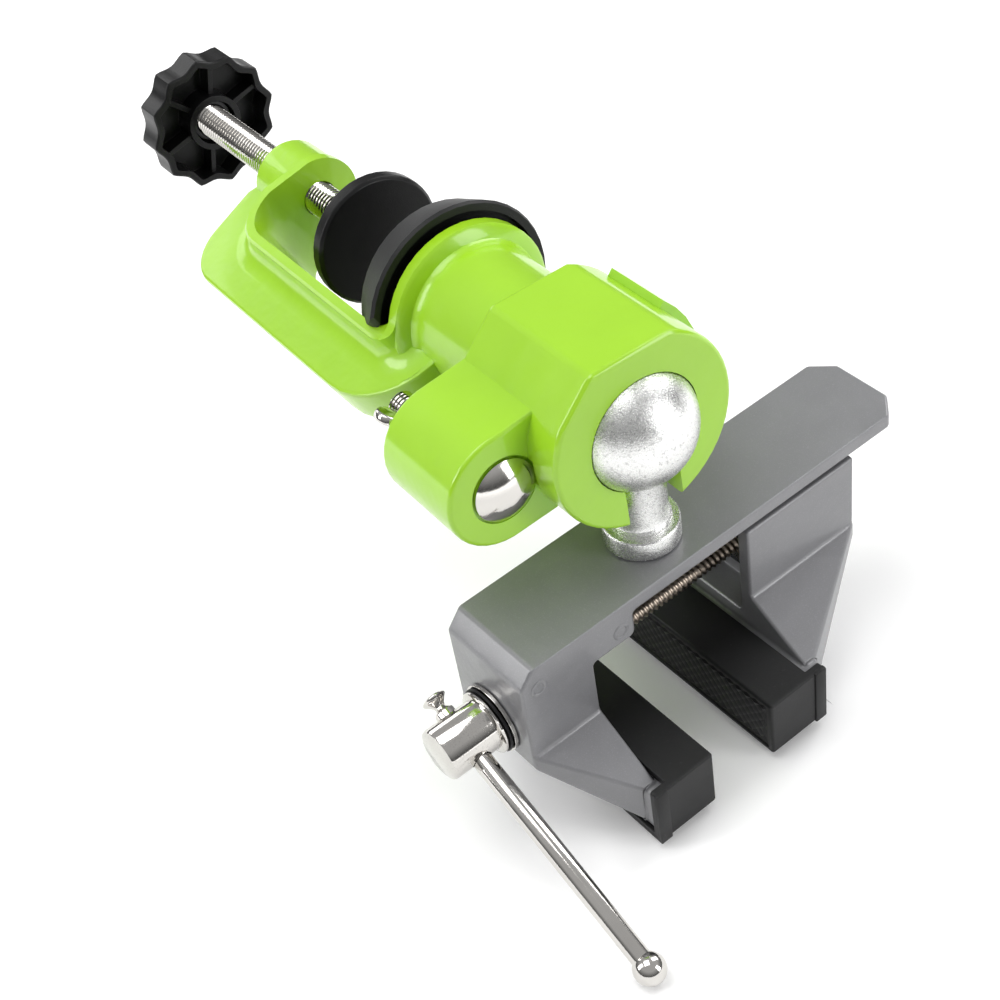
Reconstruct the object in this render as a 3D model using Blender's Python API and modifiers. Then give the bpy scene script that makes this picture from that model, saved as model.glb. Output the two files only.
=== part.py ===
"""Swivel bench vise with a table clamp, modelled for Blender 4.5.

Frame: metres, +Z up. The origin is the centre of the bench face of the fixed clamp pad,
+Y is the clamp screw's axis, away from the ball and toward the knob, +X is to the right,
toward the far end of the vise beam. The vise head hangs below the ball on its stem.
"""
import math

import bmesh
import bpy
from mathutils import Matrix, Vector

MM = 0.001
DEG = math.pi / 180.0

# Shared fits
SEAT_GAP = 0.3 * MM            # between pieces that touch
RUN_GAP = 0.35 * MM            # between pieces that turn or slide
OVERRUN = 2.0 * MM             # how far a cutter passes a face
WELD = 0.001 * MM              # merge distance of turned and filled shapes
FLAT_ANGLE = 0.5 * DEG         # faces this near to one plane become one
ROUND_STEPS = 40               # sides of the large round pieces
SMALL_STEPS = 24               # sides of the small round pieces

# Ball stud
BALL_R = 16.8 * MM
STEM_R = 4.6 * MM
STEM_FLARE_R = 6.4 * MM
STEM_FLARE_H = 4.5 * MM
COLLAR_R = 10.1 * MM
COLLAR_H = 5.0 * MM
COLLAR_STEP_R = 7.9 * MM
COLLAR_STEP_H = 2.2 * MM
COLLAR_EDGE = 0.9 * MM
BALL_TO_BEAM = 38.7 * MM       # ball centre above the beam's top face

# Stations along the clamp axis, from the ball centre
S_BENCH = 84.8 * MM            # bench face of the fixed pad
S_HOUSING_FRONT = -6.1 * MM
S_HOUSING_REAR = 34.7 * MM
S_FRONT_ARM = 57.4 * MM
S_FLANGE_FRONT = 66.4 * MM
S_FLANGE_REAR = 70.6 * MM
S_FREE_ARM = 147.6 * MM        # table side of the free arm
S_BOSS_REAR = 166.0 * MM
S_WEB_REAR = 168.0 * MM
S_PAD_FACE = 113.9 * MM        # bench face of the pressure pad
S_KNOB_FRONT = 215.0 * MM
S_KNOB_REAR = 225.4 * MM

# Socket housing
HOUSING_R = 26.4 * MM
HOUSING_TOP = 24.1 * MM        # flat on top of the housing
HOUSING_RIDGE_X = 12.2 * MM    # where the flat top meets the left wall
HOUSING_CREASE_ANGLE = 148.0 * DEG
HOUSING_EDGE = 1.4 * MM
BORE_R = BALL_R + SEAT_GAP
SLOT_HALF = 8.3 * MM           # half width of the slot for the stem
SLOT_CENTRE_S = 1.0 * MM       # centre of the slot's round end
LUG_X = -34.0 * MM             # lock bolt axis, to the left of the ball
LUG_Z = -3.0 * MM
LUG_R = 15.7 * MM
LUG_FRONT_S = 5.1 * MM
LUG_EDGE = 1.2 * MM
LUG_ROOT_X = -12.0 * MM
LUG_ROOT_TOP = 13.4 * MM
LUG_ROOT_BOTTOM = -17.2 * MM
CAVITY_WALL = 2.6 * MM
CAVITY_S = 23.6 * MM           # floor of the rear cavity
CAVITY_STEP_X = -19.0 * MM     # where the cavity widens from the lug to the bore
TAB_R = 28.6 * MM              # raised pad over the fork's tips
TAB_LOW_ANGLE = -34.0 * DEG
TAB_HIGH_ANGLE = 46.0 * DEG
TAB_FRONT_S = 8.1 * MM
TAB_REAR_S = 28.4 * MM

# Lock fork, bolt and wing nut
FORK_T = 4.6 * MM
FORK_HALF = 15.6 * MM
FORK_TAIL_R = 10.6 * MM
FORK_TIP_X = 19.9 * MM
FORK_SHOULDER_X = -14.0 * MM
FORK_WAIST_X = -22.5 * MM
FORK_WAIST_HALF = 9.6 * MM
BOLT_R = 3.9 * MM
BOLT_HEAD_R = 8.5 * MM
BOLT_HEAD_H = 4.3 * MM
BOLT_HEAD_RIM = 0.9 * MM
BOLT_SQUARE = 8.6 * MM
BOLT_SQUARE_H = 3.6 * MM
BOLT_RECESS = 0.8 * MM
BOLT_END_S = 51.4 * MM
WASHER_T = 1.4 * MM
NUT_WASHER_R = 8.6 * MM
WING_HUB_R = 6.4 * MM
WING_HUB_TOP_R = 5.2 * MM
WING_HUB_H = 9.4 * MM
WING_SPAN = 13.6 * MM
WING_T = 2.8 * MM
WING_EDGE = 0.7 * MM
WING_ANGLE = 36.0 * DEG
WING_ROOT_S = 35.4 * MM
WING_REACH = 10.4 * MM         # how far the wings reach behind their root

# Ball seat and the neck of the clamp frame
SEAT_FRONT_S = 8.6 * MM
NECK_FRONT_S = 18.3 * MM
NECK_INNER_R = 16.3 * MM       # the part of the neck inside the housing
GROOVE_R = 11.6 * MM
NECK_R = 19.2 * MM
FLANGE_R = 24.0 * MM
FLANGE_CONE = 3.0 * MM
NECK_EDGE = 1.0 * MM

# C frame
C_ROLL = 206.0 * DEG           # direction of the spine from the clamp axis, from +X toward +Z
BAND_IN = 20.5 * MM            # inner face of the spine, from the clamp axis
BAND_T = 3.2 * MM
BAND_HALF = 15.1 * MM
BAND_FRONT_CORNER = 6.0 * MM
BAND_REAR_CORNER = 9.5 * MM
BAND_STEP = 0.2 * MM           # front arm's band behind the flange's rear plane
BAND_ROOT = 2.1 * MM           # where the band starts inside the flange
BAND_EDGE_T = 0.8 * MM         # rounding of the band's edges
WEB_OUT = 40.2 * MM            # outer edge of the spine
WEB_HALF = 6.8 * MM
WEB_EDGE = 1.3 * MM
WEB_ROOT = 1.3 * MM            # where the web starts inside the neck and the boss
WEB_FRONT_CORNER = 26.0 * MM
WEB_REAR_CORNER = 13.0 * MM
FILLET_T = 7.6 * MM            # concave fillet between band and web, along the web
FILLET_N = 5.6 * MM            # and along the band
FILLET_STEPS = 5
BOSS_R = 11.8 * MM
ARM_END_R = 12.5 * MM
ARM_TAPER = 9.0 * MM           # where the arm's end reaches its full width
ARM_INSET = 0.05 * MM          # the end's faces behind those of the band

# Clamp screw, its pads and knob
SCREW_R = 5.0 * MM
SCREW_HOLE_R = 5.35 * MM
PAD_R = 19.3 * MM
PAD_T = 4.6 * MM
PAD_EDGE = 0.9 * MM
PAD_CUP_R = 8.6 * MM
PAD_CUP_H = 3.6 * MM
PAD_POCKET_R = 6.0 * MM
PAD_SKIN = 1.6 * MM
TIP_R = 5.6 * MM
TIP_H = 2.6 * MM
TIP_NECK_R = 3.6 * MM
TIP_NECK_H = 3.6 * MM
RETAINER_T = 1.4 * MM
FIXED_PAD_R = 26.2 * MM
FIXED_PAD_FACE_R = 22.8 * MM
FIXED_PAD_HUB_R = 19.4 * MM
FIXED_PAD_LIP = 2.4 * MM
FIXED_PAD_SETBACK = 1.8 * MM   # lip behind the flange's rear plane
FIXED_PAD_RECESS = 4.2 * MM
FIXED_PAD_EDGE = 1.0 * MM
KNOB_R = 21.6 * MM
KNOB_SCALLOP = 1.9 * MM
KNOB_POWER = 1.3
KNOB_LOBES = 12
KNOB_LOBE_POINTS = 8
KNOB_RIM = 2.3 * MM
KNOB_FLOOR = 2.6 * MM
KNOB_RIB_T = 1.6 * MM
KNOB_RIB_DROP = 2.2 * MM
KNOB_RIBS = 6
KNOB_HUB_R = 8.9 * MM
KNOB_HUB_BORE = 7.0 * MM
KNOB_HUB_RISE = 0.5 * MM
KNOB_EDGE = 0.9 * MM
INSERT_R = 6.5 * MM
INSERT_H = 5.6 * MM

# Vise head: angles of its frame about the ball
HEAD_TILT = 3.6 * DEG
HEAD_YAW = 3.3 * DEG

# Vise body, measured from the beam's top face under the stem
BEAM_HALF = 14.7 * MM
BEAM_T = 4.8 * MM
BEAM_PLATE = 3.3 * MM
BEAM_LEFT = -52.9 * MM
BEAM_RIGHT = 79.8 * MM
END_CHAMFER_X = 5.4 * MM
END_CHAMFER_Y = 5.7 * MM
LEFT_CHAMFER_X = 4.3 * MM
LEFT_CHAMFER_Z = 5.0 * MM
BLOCK_FACE_X = -30.6 * MM      # rear plane of the fixed jaw cover
BLOCK_STEP_X = -16.6 * MM
BLOCK_STEP_Z = -12.9 * MM
BLOCK_STEP_CORNER = 2.2 * MM
CREASE_Z = -30.5 * MM
BLOCK_TAIL_Z = -35.4 * MM
JAW_BOTTOM_Z = -56.8 * MM
GUSSET_OUT = 34.2 * MM         # outer end of the gussets
GUSSET_TOP_Z = -42.3 * MM
GUSSET_BOTTOM_Z = -55.4 * MM
GUSSET_ROOT = 10.0 * MM
PLATE_T = 4.0 * MM
RAIL_OUT = 10.2 * MM
RAIL_T = 2.9 * MM
RAIL_BOTTOM_Z = -10.4 * MM
RAIL_LIP = 2.6 * MM
RAIL_LIP_H = 2.8 * MM
RAIL_END_X = 70.2 * MM
RAIL_CHAMFER = 2.6 * MM

# Rubber jaw covers
COVER_HALF = 39.4 * MM
COVER_TOP_Z = -39.8 * MM
COVER_BOTTOM_Z = -59.5 * MM
COVER_T = 14.9 * MM            # from the rear plane to the clamping face
COVER_LIP = 4.6 * MM           # wraps behind the jaw plate's ends
COVER_SKIN = 2.4 * MM
COVER_EDGE = 0.8 * MM
TONGUE_T = 4.3 * MM            # jaw plate inside the cover

# Movable jaw
JAW_GAP = 20.5 * MM            # between the clamping faces
JAW_L = 38.9 * MM
JAW_SETBACK = 2.4 * MM         # casting behind the movable cover's rear plane
JAW_TOP_Z = -6.3 * MM
JAW_WALL = 4.1 * MM
JAW_CORE_Z = -12.4 * MM
JAW_RECESS = 9.0 * MM
JAW_RECESS_Z = -38.4 * MM
KEY_HALF = 4.3 * MM
KEY_HEAD_HALF = 6.9 * MM
KEY_FROM_FACE = 9.9 * MM
KEY_L = 16.0 * MM

# Lead screw and lever
LEAD_Z = -26.6 * MM
LEAD_R = 2.4 * MM
LEAD_HOLE_R = 2.85 * MM
LEAD_END_X = 64.5 * MM
LEAD_COLLAR_R = 4.6 * MM
LEAD_COLLAR_T = 2.6 * MM
LEAD_COLLAR_X = -30.0 * MM
HEAD_R = 7.25 * MM
HEAD_END_X = -71.2 * MM
HEAD_EDGE = 0.7 * MM
HEAD_FLANGE_R = 8.9 * MM
HEAD_FLANGE_T = 0.9 * MM
THRUST_R = 9.8 * MM
THRUST_T = 1.0 * MM
RING_R = 9.3 * MM
RING_T = 0.7 * MM
NUT_HALF_Y = 6.6 * MM
NUT_HALF_Z = 6.6 * MM
NUT_L = 8.0 * MM
STOP_T = 2.4 * MM
STOP_SCREW_R = 1.1 * MM
STOP_SCREW_HEAD_R = 2.3 * MM
STOP_SCREW_HEAD_H = 1.3 * MM
STOP_SCREW_DEEP = 1.9 * MM
LEVER_X = -62.8 * MM
LEVER_R = 2.75 * MM
LEVER_HOLE_R = 2.95 * MM
LEVER_ANGLE = 23.8 * DEG       # below horizontal, toward the viewer
LEVER_BALL_R = 4.3 * MM
LEVER_BALL_AT = 71.9 * MM
LEVER_NECK_R = 1.45 * MM
LEVER_NECK_AT = 8.4 * MM
LEVER_BELL_R = 3.4 * MM
LEVER_BELL_AT = 12.0 * MM
LEVER_BELL_T = 1.3 * MM
STUD_SCREW_R = 2.4 * MM
STUD_SCREW_DEEP = 8.0 * MM     # above the beam's top face
STUD_HEAD_R = 4.2 * MM
STUD_HEAD_H = 2.4 * MM
STUD_WASHER_R = 4.9 * MM
STUD_WASHER_T = 0.7 * MM

# Colours and finishes: base colour, roughness, metallic
FINISHES = {
    "lime_paint": ((0.352, 0.716, 0.032, 1.0), 0.22, 0.0),
    "gray_paint": ((0.215, 0.215, 0.228, 1.0), 0.34, 0.35),
    "black_rubber": ((0.012, 0.012, 0.013, 1.0), 0.55, 0.0),
    "black_plastic": ((0.010, 0.010, 0.011, 1.0), 0.35, 0.0),
    "nickel": ((0.70, 0.68, 0.65, 1.0), 0.16, 1.0),
    "blasted_steel": ((0.55, 0.55, 0.55, 1.0), 0.38, 1.0),
    "thread_steel": ((0.36, 0.31, 0.26, 1.0), 0.32, 1.0),
    "brass": ((0.62, 0.44, 0.18, 1.0), 0.3, 1.0),
    "dark_steel": ((0.05, 0.05, 0.052, 1.0), 0.4, 0.8),
}


def clear_scene():
    for item in list(bpy.data.objects):
        bpy.data.objects.remove(item, do_unlink=True)


def finish(name, key):
    colour, roughness, metallic = FINISHES[key]
    material = bpy.data.materials.new(name + "_finish")
    material.use_nodes = True
    shader = material.node_tree.nodes["Principled BSDF"]
    shader.inputs["Base Color"].default_value = colour
    shader.inputs["Roughness"].default_value = roughness
    shader.inputs["Metallic"].default_value = metallic
    return material


def mesh_from(bm, name, smooth_angle=40.0 * DEG):
    bmesh.ops.recalc_face_normals(bm, faces=bm.faces)
    mesh = bpy.data.meshes.new(name)
    bm.to_mesh(mesh)
    bm.free()
    mesh.shade_smooth()
    mesh.set_sharp_from_angle(angle=smooth_angle)
    return mesh


def box_mesh(name, low, high):
    """A box between two corners."""
    low = Vector(low)
    high = Vector(high)
    bm = bmesh.new()
    bmesh.ops.create_cube(bm, size=1.0)
    bmesh.ops.scale(bm, vec=high - low, verts=bm.verts)
    bmesh.ops.translate(bm, vec=(low + high) / 2, verts=bm.verts)
    return mesh_from(bm, name)


def cylinder_mesh(name, radius, low, high, steps=ROUND_STEPS, centre=(0, 0)):
    """A cylinder along local Z between two heights."""
    bm = bmesh.new()
    bmesh.ops.create_cone(bm, cap_ends=True, segments=steps, radius1=radius, radius2=radius,
                          depth=high - low)
    middle = (centre[0], centre[1], (low + high) / 2)
    bmesh.ops.translate(bm, vec=middle, verts=bm.verts)
    return mesh_from(bm, name)


def profile_mesh(name, points, closed):
    """A (radius, height) profile at +X, given bottom to top, stored top to bottom."""
    bm = bmesh.new()
    verts = [bm.verts.new((radius, 0, height)) for radius, height in reversed(points)]
    for first, second in zip(verts, verts[1:]):
        bm.edges.new((first, second))
    if closed:
        bm.edges.new((verts[-1], verts[0]))
    mesh = bpy.data.meshes.new(name)
    bm.to_mesh(mesh)
    bm.free()
    return mesh


def outline_mesh(name, points, low, high):
    """A flat outline in local XY, made solid between two heights along local Z."""
    curve = bpy.data.curves.new(name + "_curve", "CURVE")
    curve.dimensions = "2D"
    curve.fill_mode = "BOTH"
    curve.extrude = (high - low) / 2
    line = curve.splines.new("POLY")
    line.points.add(len(points) - 1)
    for knot, (x, y) in zip(line.points, points):
        knot.co = (x, y, 0, 1)
    line.use_cyclic_u = True
    flat = bpy.data.objects.new(name + "_curve", curve)
    bpy.context.scene.collection.objects.link(flat)
    flat.location = (0, 0, (low + high) / 2)
    bpy.context.view_layer.update()
    graph = bpy.context.evaluated_depsgraph_get()
    solid = bpy.data.meshes.new_from_object(flat.evaluated_get(graph))
    bm = bmesh.new()
    bm.from_mesh(solid)
    bm.transform(flat.matrix_world)
    bmesh.ops.remove_doubles(bm, verts=bm.verts, dist=WELD)
    bmesh.ops.dissolve_limit(bm, angle_limit=FLAT_ANGLE, verts=bm.verts, edges=bm.edges)
    bpy.data.meshes.remove(solid)
    bpy.data.objects.remove(flat, do_unlink=True)
    return mesh_from(bm, name)


def loft_mesh(name, rings):
    """A solid through closed outlines of equal count: rings of (height, points)."""
    bm = bmesh.new()
    rows = []
    for height, points in rings:
        rows.append([bm.verts.new((x, y, height)) for x, y in points])
    count = len(rows[0])
    for lower, upper in zip(rows, rows[1:]):
        for index in range(count):
            after = (index + 1) % count
            bm.faces.new((lower[index], lower[after], upper[after], upper[index]))
    bm.faces.new(rows[0])
    bm.faces.new(rows[-1])
    return mesh_from(bm, name)


def hull_mesh(name, points):
    """The convex solid round some corners."""
    bm = bmesh.new()
    for point in points:
        bm.verts.new(point)
    made = bmesh.ops.convex_hull(bm, input=bm.verts)
    loose = [item for item in made["geom_interior"] if isinstance(item, bmesh.types.BMVert)]
    bmesh.ops.delete(bm, geom=loose, context="VERTS")
    bmesh.ops.dissolve_limit(bm, angle_limit=FLAT_ANGLE, verts=bm.verts, edges=bm.edges)
    return mesh_from(bm, name)


def arc(centre, radius, start, end, steps):
    """Points along an arc, angles in radians."""
    points = []
    for index in range(steps + 1):
        angle = start + (end - start) * index / steps
        x = centre[0] + radius * math.cos(angle)
        y = centre[1] + radius * math.sin(angle)
        points.append((x, y))
    return points


def rounded(points, radii, steps=6):
    """An outline whose corners are rounded, each by its own radius."""
    result = []
    count = len(points)
    for index in range(count):
        here = Vector(points[index])
        radius = radii[index]
        if radius <= 0:
            result.append(tuple(here))
            continue
        back = (Vector(points[index - 1]) - here).normalized()
        ahead = (Vector(points[(index + 1) % count]) - here).normalized()
        half = back.angle(ahead) / 2
        centre = here + (back + ahead).normalized() * (radius / math.sin(half))
        reach = radius / math.tan(half)
        first = here + back * reach - centre
        last = here + ahead * reach - centre
        start = math.atan2(first.y, first.x)
        turn = math.atan2(first.cross(last), first.dot(last))
        for step in range(steps + 1):
            angle = start + turn * step / steps
            result.append((centre.x + radius * math.cos(angle), centre.y + radius * math.sin(angle)))
    return result


def frame_matrix(x_axis, y_axis, z_axis, origin=(0, 0, 0)):
    matrix = Matrix((Vector(x_axis), Vector(y_axis), Vector(z_axis))).transposed().to_4x4()
    matrix.translation = Vector(origin)
    return matrix


class Kit:
    """Makes the named objects and keeps them in their two collections."""

    def __init__(self):
        self.parts = bpy.data.collections.new("swivel_bench_vise")
        self.cutters = bpy.data.collections.new("cutters")
        bpy.context.scene.collection.children.link(self.parts)
        bpy.context.scene.collection.children.link(self.cutters)

    def place(self, item, collection, parent, matrix):
        collection.objects.link(item)
        item.parent = parent
        if matrix is not None:
            item.matrix_local = matrix
        return item

    def empty(self, name, parent=None, matrix=None):
        return self.place(bpy.data.objects.new(name, None), self.parts, parent, matrix)

    def piece(self, name, mesh, key, parent, matrix=None):
        mesh.materials.append(finish(name, key))
        return self.place(bpy.data.objects.new(name, mesh), self.parts, parent, matrix)

    def shape(self, name, mesh, parent, matrix=None):
        item = self.place(bpy.data.objects.new(name, mesh), self.cutters, parent, matrix)
        item.hide_render = True
        item.display_type = "WIRE"
        return item

    def turn(self, item, steps=ROUND_STEPS):
        """Turns an object's profile about its local Z."""
        step = item.modifiers.new("turned", "SCREW")
        step.axis = "Z"
        step.steps = steps
        step.render_steps = steps
        step.use_merge_vertices = True
        step.merge_threshold = WELD
        step.use_smooth_shade = True
        return step

    def turned(self, name, points, key, parent, matrix=None, steps=ROUND_STEPS, closed=False):
        item = self.piece(name, profile_mesh(name, points, closed), key, parent, matrix)
        self.turn(item, steps)
        return item

    def turned_shape(self, name, points, parent, matrix=None, steps=ROUND_STEPS, closed=False):
        item = self.shape(name, profile_mesh(name, points, closed), parent, matrix)
        self.turn(item, steps)
        return item

    def join(self, target, operation, other):
        step = target.modifiers.new(operation.lower() + "_" + other.name, "BOOLEAN")
        step.operation = operation
        step.solver = "EXACT"
        step.object = other
        return step

    def cut(self, target, other):
        return self.join(target, "DIFFERENCE", other)

    def fuse(self, target, other):
        return self.join(target, "UNION", other)

    def bevel(self, target, width, segments=2, angle=35.0 * DEG):
        step = target.modifiers.new("rounded_edges", "BEVEL")
        step.width = width
        step.segments = segments
        step.limit_method = "ANGLE"
        step.angle_limit = angle
        return step


def ball_profile(radius, start, end, steps, centre=0.0):
    """(radius, height) points on a sphere about the turning axis, angles from -90 at the bottom."""
    points = []
    for index in range(steps + 1):
        angle = start + (end - start) * index / steps
        points.append((radius * math.cos(angle), centre + radius * math.sin(angle)))
    return points


# The C casting

def c_outline(grow, inner_gap=0.0):
    """The C band seen square on: its inner line stays, its outer line moves out by grow."""
    inner = BAND_IN - inner_gap
    front = S_FLANGE_REAR - BAND_STEP + inner_gap
    rear = S_FREE_ARM - inner_gap
    low = S_FLANGE_REAR - BAND_STEP - BAND_T - grow
    high = S_FREE_ARM + BAND_T + grow
    out = BAND_IN + BAND_T + grow
    points = [
        (low, BAND_ROOT),
        (front, BAND_ROOT),
        (front, inner),
        (rear, inner),
        (rear, ARM_TAPER + BAND_T / 4),
        (high, ARM_TAPER + BAND_T / 4),
        (high, out),
        (low, out),
    ]
    reach = BAND_T + grow
    radii = (
        0,
        0,
        BAND_FRONT_CORNER + inner_gap,
        BAND_REAR_CORNER + inner_gap,
        0,
        0,
        BAND_REAR_CORNER + reach / 2,
        BAND_FRONT_CORNER + reach / 2,
    )
    return rounded(points, radii)


def band_rings():
    """Levels of the band from side to side: rounded edges, concave fillets, the web."""
    upper = [(BAND_HALF, c_outline(-BAND_EDGE_T)), (BAND_HALF - BAND_EDGE_T, c_outline(0))]
    for index in range(FILLET_STEPS + 1):
        angle = (math.pi / 2) * index / FILLET_STEPS
        height = WEB_HALF + FILLET_N * (1 - math.sin(angle))
        grow = FILLET_T * (1 - math.cos(angle))
        upper.append((height, c_outline(grow)))
    lower = [(-height, points) for height, points in upper]
    return lower + list(reversed(upper))


def web_outline():
    inner = BAND_IN + BAND_T / 2
    front = S_FLANGE_REAR - BAND_STEP - BAND_T / 2
    rear = S_FREE_ARM + BAND_T / 2
    points = [
        (S_FRONT_ARM, WEB_ROOT),
        (front, WEB_ROOT),
        (front, inner),
        (rear, inner),
        (rear, WEB_ROOT),
        (S_BOSS_REAR - BAND_T, WEB_ROOT),
        (S_WEB_REAR, BOSS_R),
        (S_WEB_REAR, WEB_OUT),
        (S_FRONT_ARM, WEB_OUT),
    ]
    radii = (0, 0, BAND_FRONT_CORNER, BAND_REAR_CORNER, 0, 0, 0, WEB_REAR_CORNER, WEB_FRONT_CORNER)
    return rounded(points, radii, 8)


def arm_end_outline():
    """End of the free arm across the clamp axis: round at the screw, widening to the band."""
    half = BAND_HALF - ARM_INSET
    points = arc((0, 0), ARM_END_R, math.pi * 0.62, math.pi * 1.38, 18)
    points.append((ARM_TAPER, -half))
    points.append((ARM_TAPER + BAND_T / 2, -half))
    points.append((ARM_TAPER + BAND_T / 2, half))
    points.append((ARM_TAPER, half))
    return points


def build_clamp_frame(kit, axis, c_plane, arm_plane):
    groove_rear = CAVITY_S + FORK_T + RUN_GAP + SEAT_GAP
    shoulder = S_HOUSING_REAR + SEAT_GAP
    cone = S_FLANGE_FRONT - FLANGE_CONE
    neck = (
        (0, NECK_FRONT_S),
        (NECK_INNER_R - NECK_EDGE, NECK_FRONT_S),
        (NECK_INNER_R, NECK_FRONT_S + NECK_EDGE),
        (NECK_INNER_R, CAVITY_S - SEAT_GAP),
        (GROOVE_R, CAVITY_S - SEAT_GAP),
        (GROOVE_R, groove_rear),
        (NECK_INNER_R, groove_rear),
        (NECK_INNER_R, shoulder),
        (NECK_R - NECK_EDGE / 2, shoulder),
        (NECK_R, shoulder + NECK_EDGE / 2),
        (NECK_R, cone),
        (NECK_R + (FLANGE_R - NECK_R) / 4, cone + FLANGE_CONE * 0.7),
        (FLANGE_R - NECK_EDGE, S_FLANGE_FRONT),
        (FLANGE_R, S_FLANGE_FRONT + NECK_EDGE),
        (FLANGE_R, S_FLANGE_REAR),
        (0, S_FLANGE_REAR),
    )
    frame = kit.turned("clamp_frame", neck, "lime_paint", axis)

    web = kit.shape("web_shape", outline_mesh("web_shape", web_outline(), -WEB_HALF, WEB_HALF), c_plane)
    kit.bevel(web, WEB_EDGE)
    kit.fuse(frame, web)
    band = kit.shape("band_shape", loft_mesh("band_shape", band_rings()), c_plane)
    kit.fuse(frame, band)
    arm_low = S_FREE_ARM + ARM_INSET
    arm_end = outline_mesh("arm_end_shape", arm_end_outline(), arm_low, S_FREE_ARM + BAND_T - ARM_INSET)
    arm_end = kit.shape("arm_end_shape", arm_end, arm_plane)
    kit.fuse(frame, arm_end)
    boss_low = S_FREE_ARM + BAND_T / 2
    boss = kit.shape("boss_shape", cylinder_mesh("boss_shape", BOSS_R, boss_low, S_BOSS_REAR), axis)
    kit.bevel(boss, NECK_EDGE)
    kit.fuse(frame, boss)
    hole_low = S_FREE_ARM - OVERRUN
    hole_high = S_WEB_REAR + OVERRUN
    hole = cylinder_mesh("screw_hole_shape", SCREW_HOLE_R, hole_low, hole_high, SMALL_STEPS)
    kit.cut(frame, kit.shape("screw_hole_shape", hole, axis))
    return frame


def build_fixed_pad(kit, axis, c_plane):
    """Rubber pad on the flange: a tapered cup, cut to fit inside the C casting."""
    seat = S_FLANGE_REAR + SEAT_GAP
    lip = S_FLANGE_REAR + FIXED_PAD_SETBACK
    floor = lip + FIXED_PAD_RECESS
    profile = (
        (0, seat),
        (FIXED_PAD_HUB_R, seat),
        (FIXED_PAD_HUB_R, floor),
        (FIXED_PAD_R - FIXED_PAD_LIP, floor),
        (FIXED_PAD_R - FIXED_PAD_LIP, lip),
        (FIXED_PAD_R - FIXED_PAD_EDGE / 2, lip),
        (FIXED_PAD_R, lip + FIXED_PAD_EDGE),
        (FIXED_PAD_FACE_R, S_BENCH - FIXED_PAD_EDGE),
        (FIXED_PAD_FACE_R - FIXED_PAD_EDGE, S_BENCH),
        (0, S_BENCH),
    )
    pad = kit.turned("fixed_pad", profile, "black_rubber", axis)
    clear = outline_mesh("pad_clear_shape", c_outline(FILLET_T, SEAT_GAP), -FIXED_PAD_R, FIXED_PAD_R)
    kit.cut(pad, kit.shape("pad_clear_shape", clear, c_plane))
    return pad


def build_clamp_screw(kit, axis, pad_axis):
    cup_top = S_PAD_FACE + PAD_T + PAD_CUP_H
    pad_profile = (
        (0, S_PAD_FACE),
        (PAD_R - PAD_EDGE, S_PAD_FACE),
        (PAD_R, S_PAD_FACE + PAD_EDGE),
        (PAD_R, S_PAD_FACE + PAD_T - PAD_EDGE / 2),
        (PAD_R - PAD_EDGE / 2, S_PAD_FACE + PAD_T),
        (PAD_CUP_R, S_PAD_FACE + PAD_T),
        (PAD_CUP_R, cup_top),
        (PAD_POCKET_R, cup_top),
        (PAD_POCKET_R, S_PAD_FACE + PAD_SKIN),
        (0, S_PAD_FACE + PAD_SKIN),
    )
    kit.turned("pressure_pad", pad_profile, "black_plastic", pad_axis)

    tip = S_PAD_FACE + PAD_SKIN + SEAT_GAP
    neck = tip + TIP_H
    thread = neck + TIP_NECK_H
    insert_high = S_KNOB_REAR - KNOB_FLOOR - SEAT_GAP
    end = insert_high - SEAT_GAP
    screw_profile = (
        (0, tip),
        (TIP_R, tip),
        (TIP_R, neck),
        (TIP_NECK_R, neck),
        (TIP_NECK_R, thread),
        (SCREW_R, thread + SCREW_R - TIP_NECK_R),
        (SCREW_R, end),
        (0, end),
    )
    kit.turned("clamp_screw", screw_profile, "nickel", axis, steps=SMALL_STEPS)

    ring_low = neck + SEAT_GAP
    ring_high = ring_low + RETAINER_T
    ring = (
        (TIP_NECK_R + RUN_GAP, ring_low),
        (PAD_POCKET_R - SEAT_GAP, ring_low),
        (PAD_POCKET_R - SEAT_GAP, ring_high),
        (TIP_NECK_R + RUN_GAP, ring_high),
    )
    kit.turned("pad_retainer", ring, "nickel", pad_axis, steps=SMALL_STEPS, closed=True)


def knob_outline(inset):
    """Scalloped rim: hollows between the lobes, pointed where they meet."""
    points = []
    count = KNOB_LOBES * KNOB_LOBE_POINTS
    for index in range(count):
        angle = 2 * math.pi * index / count
        wave = abs(math.cos(KNOB_LOBES * angle / 2)) ** KNOB_POWER
        radius = KNOB_R - inset - KNOB_SCALLOP * wave
        points.append((radius * math.cos(angle), radius * math.sin(angle)))
    return points


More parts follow.
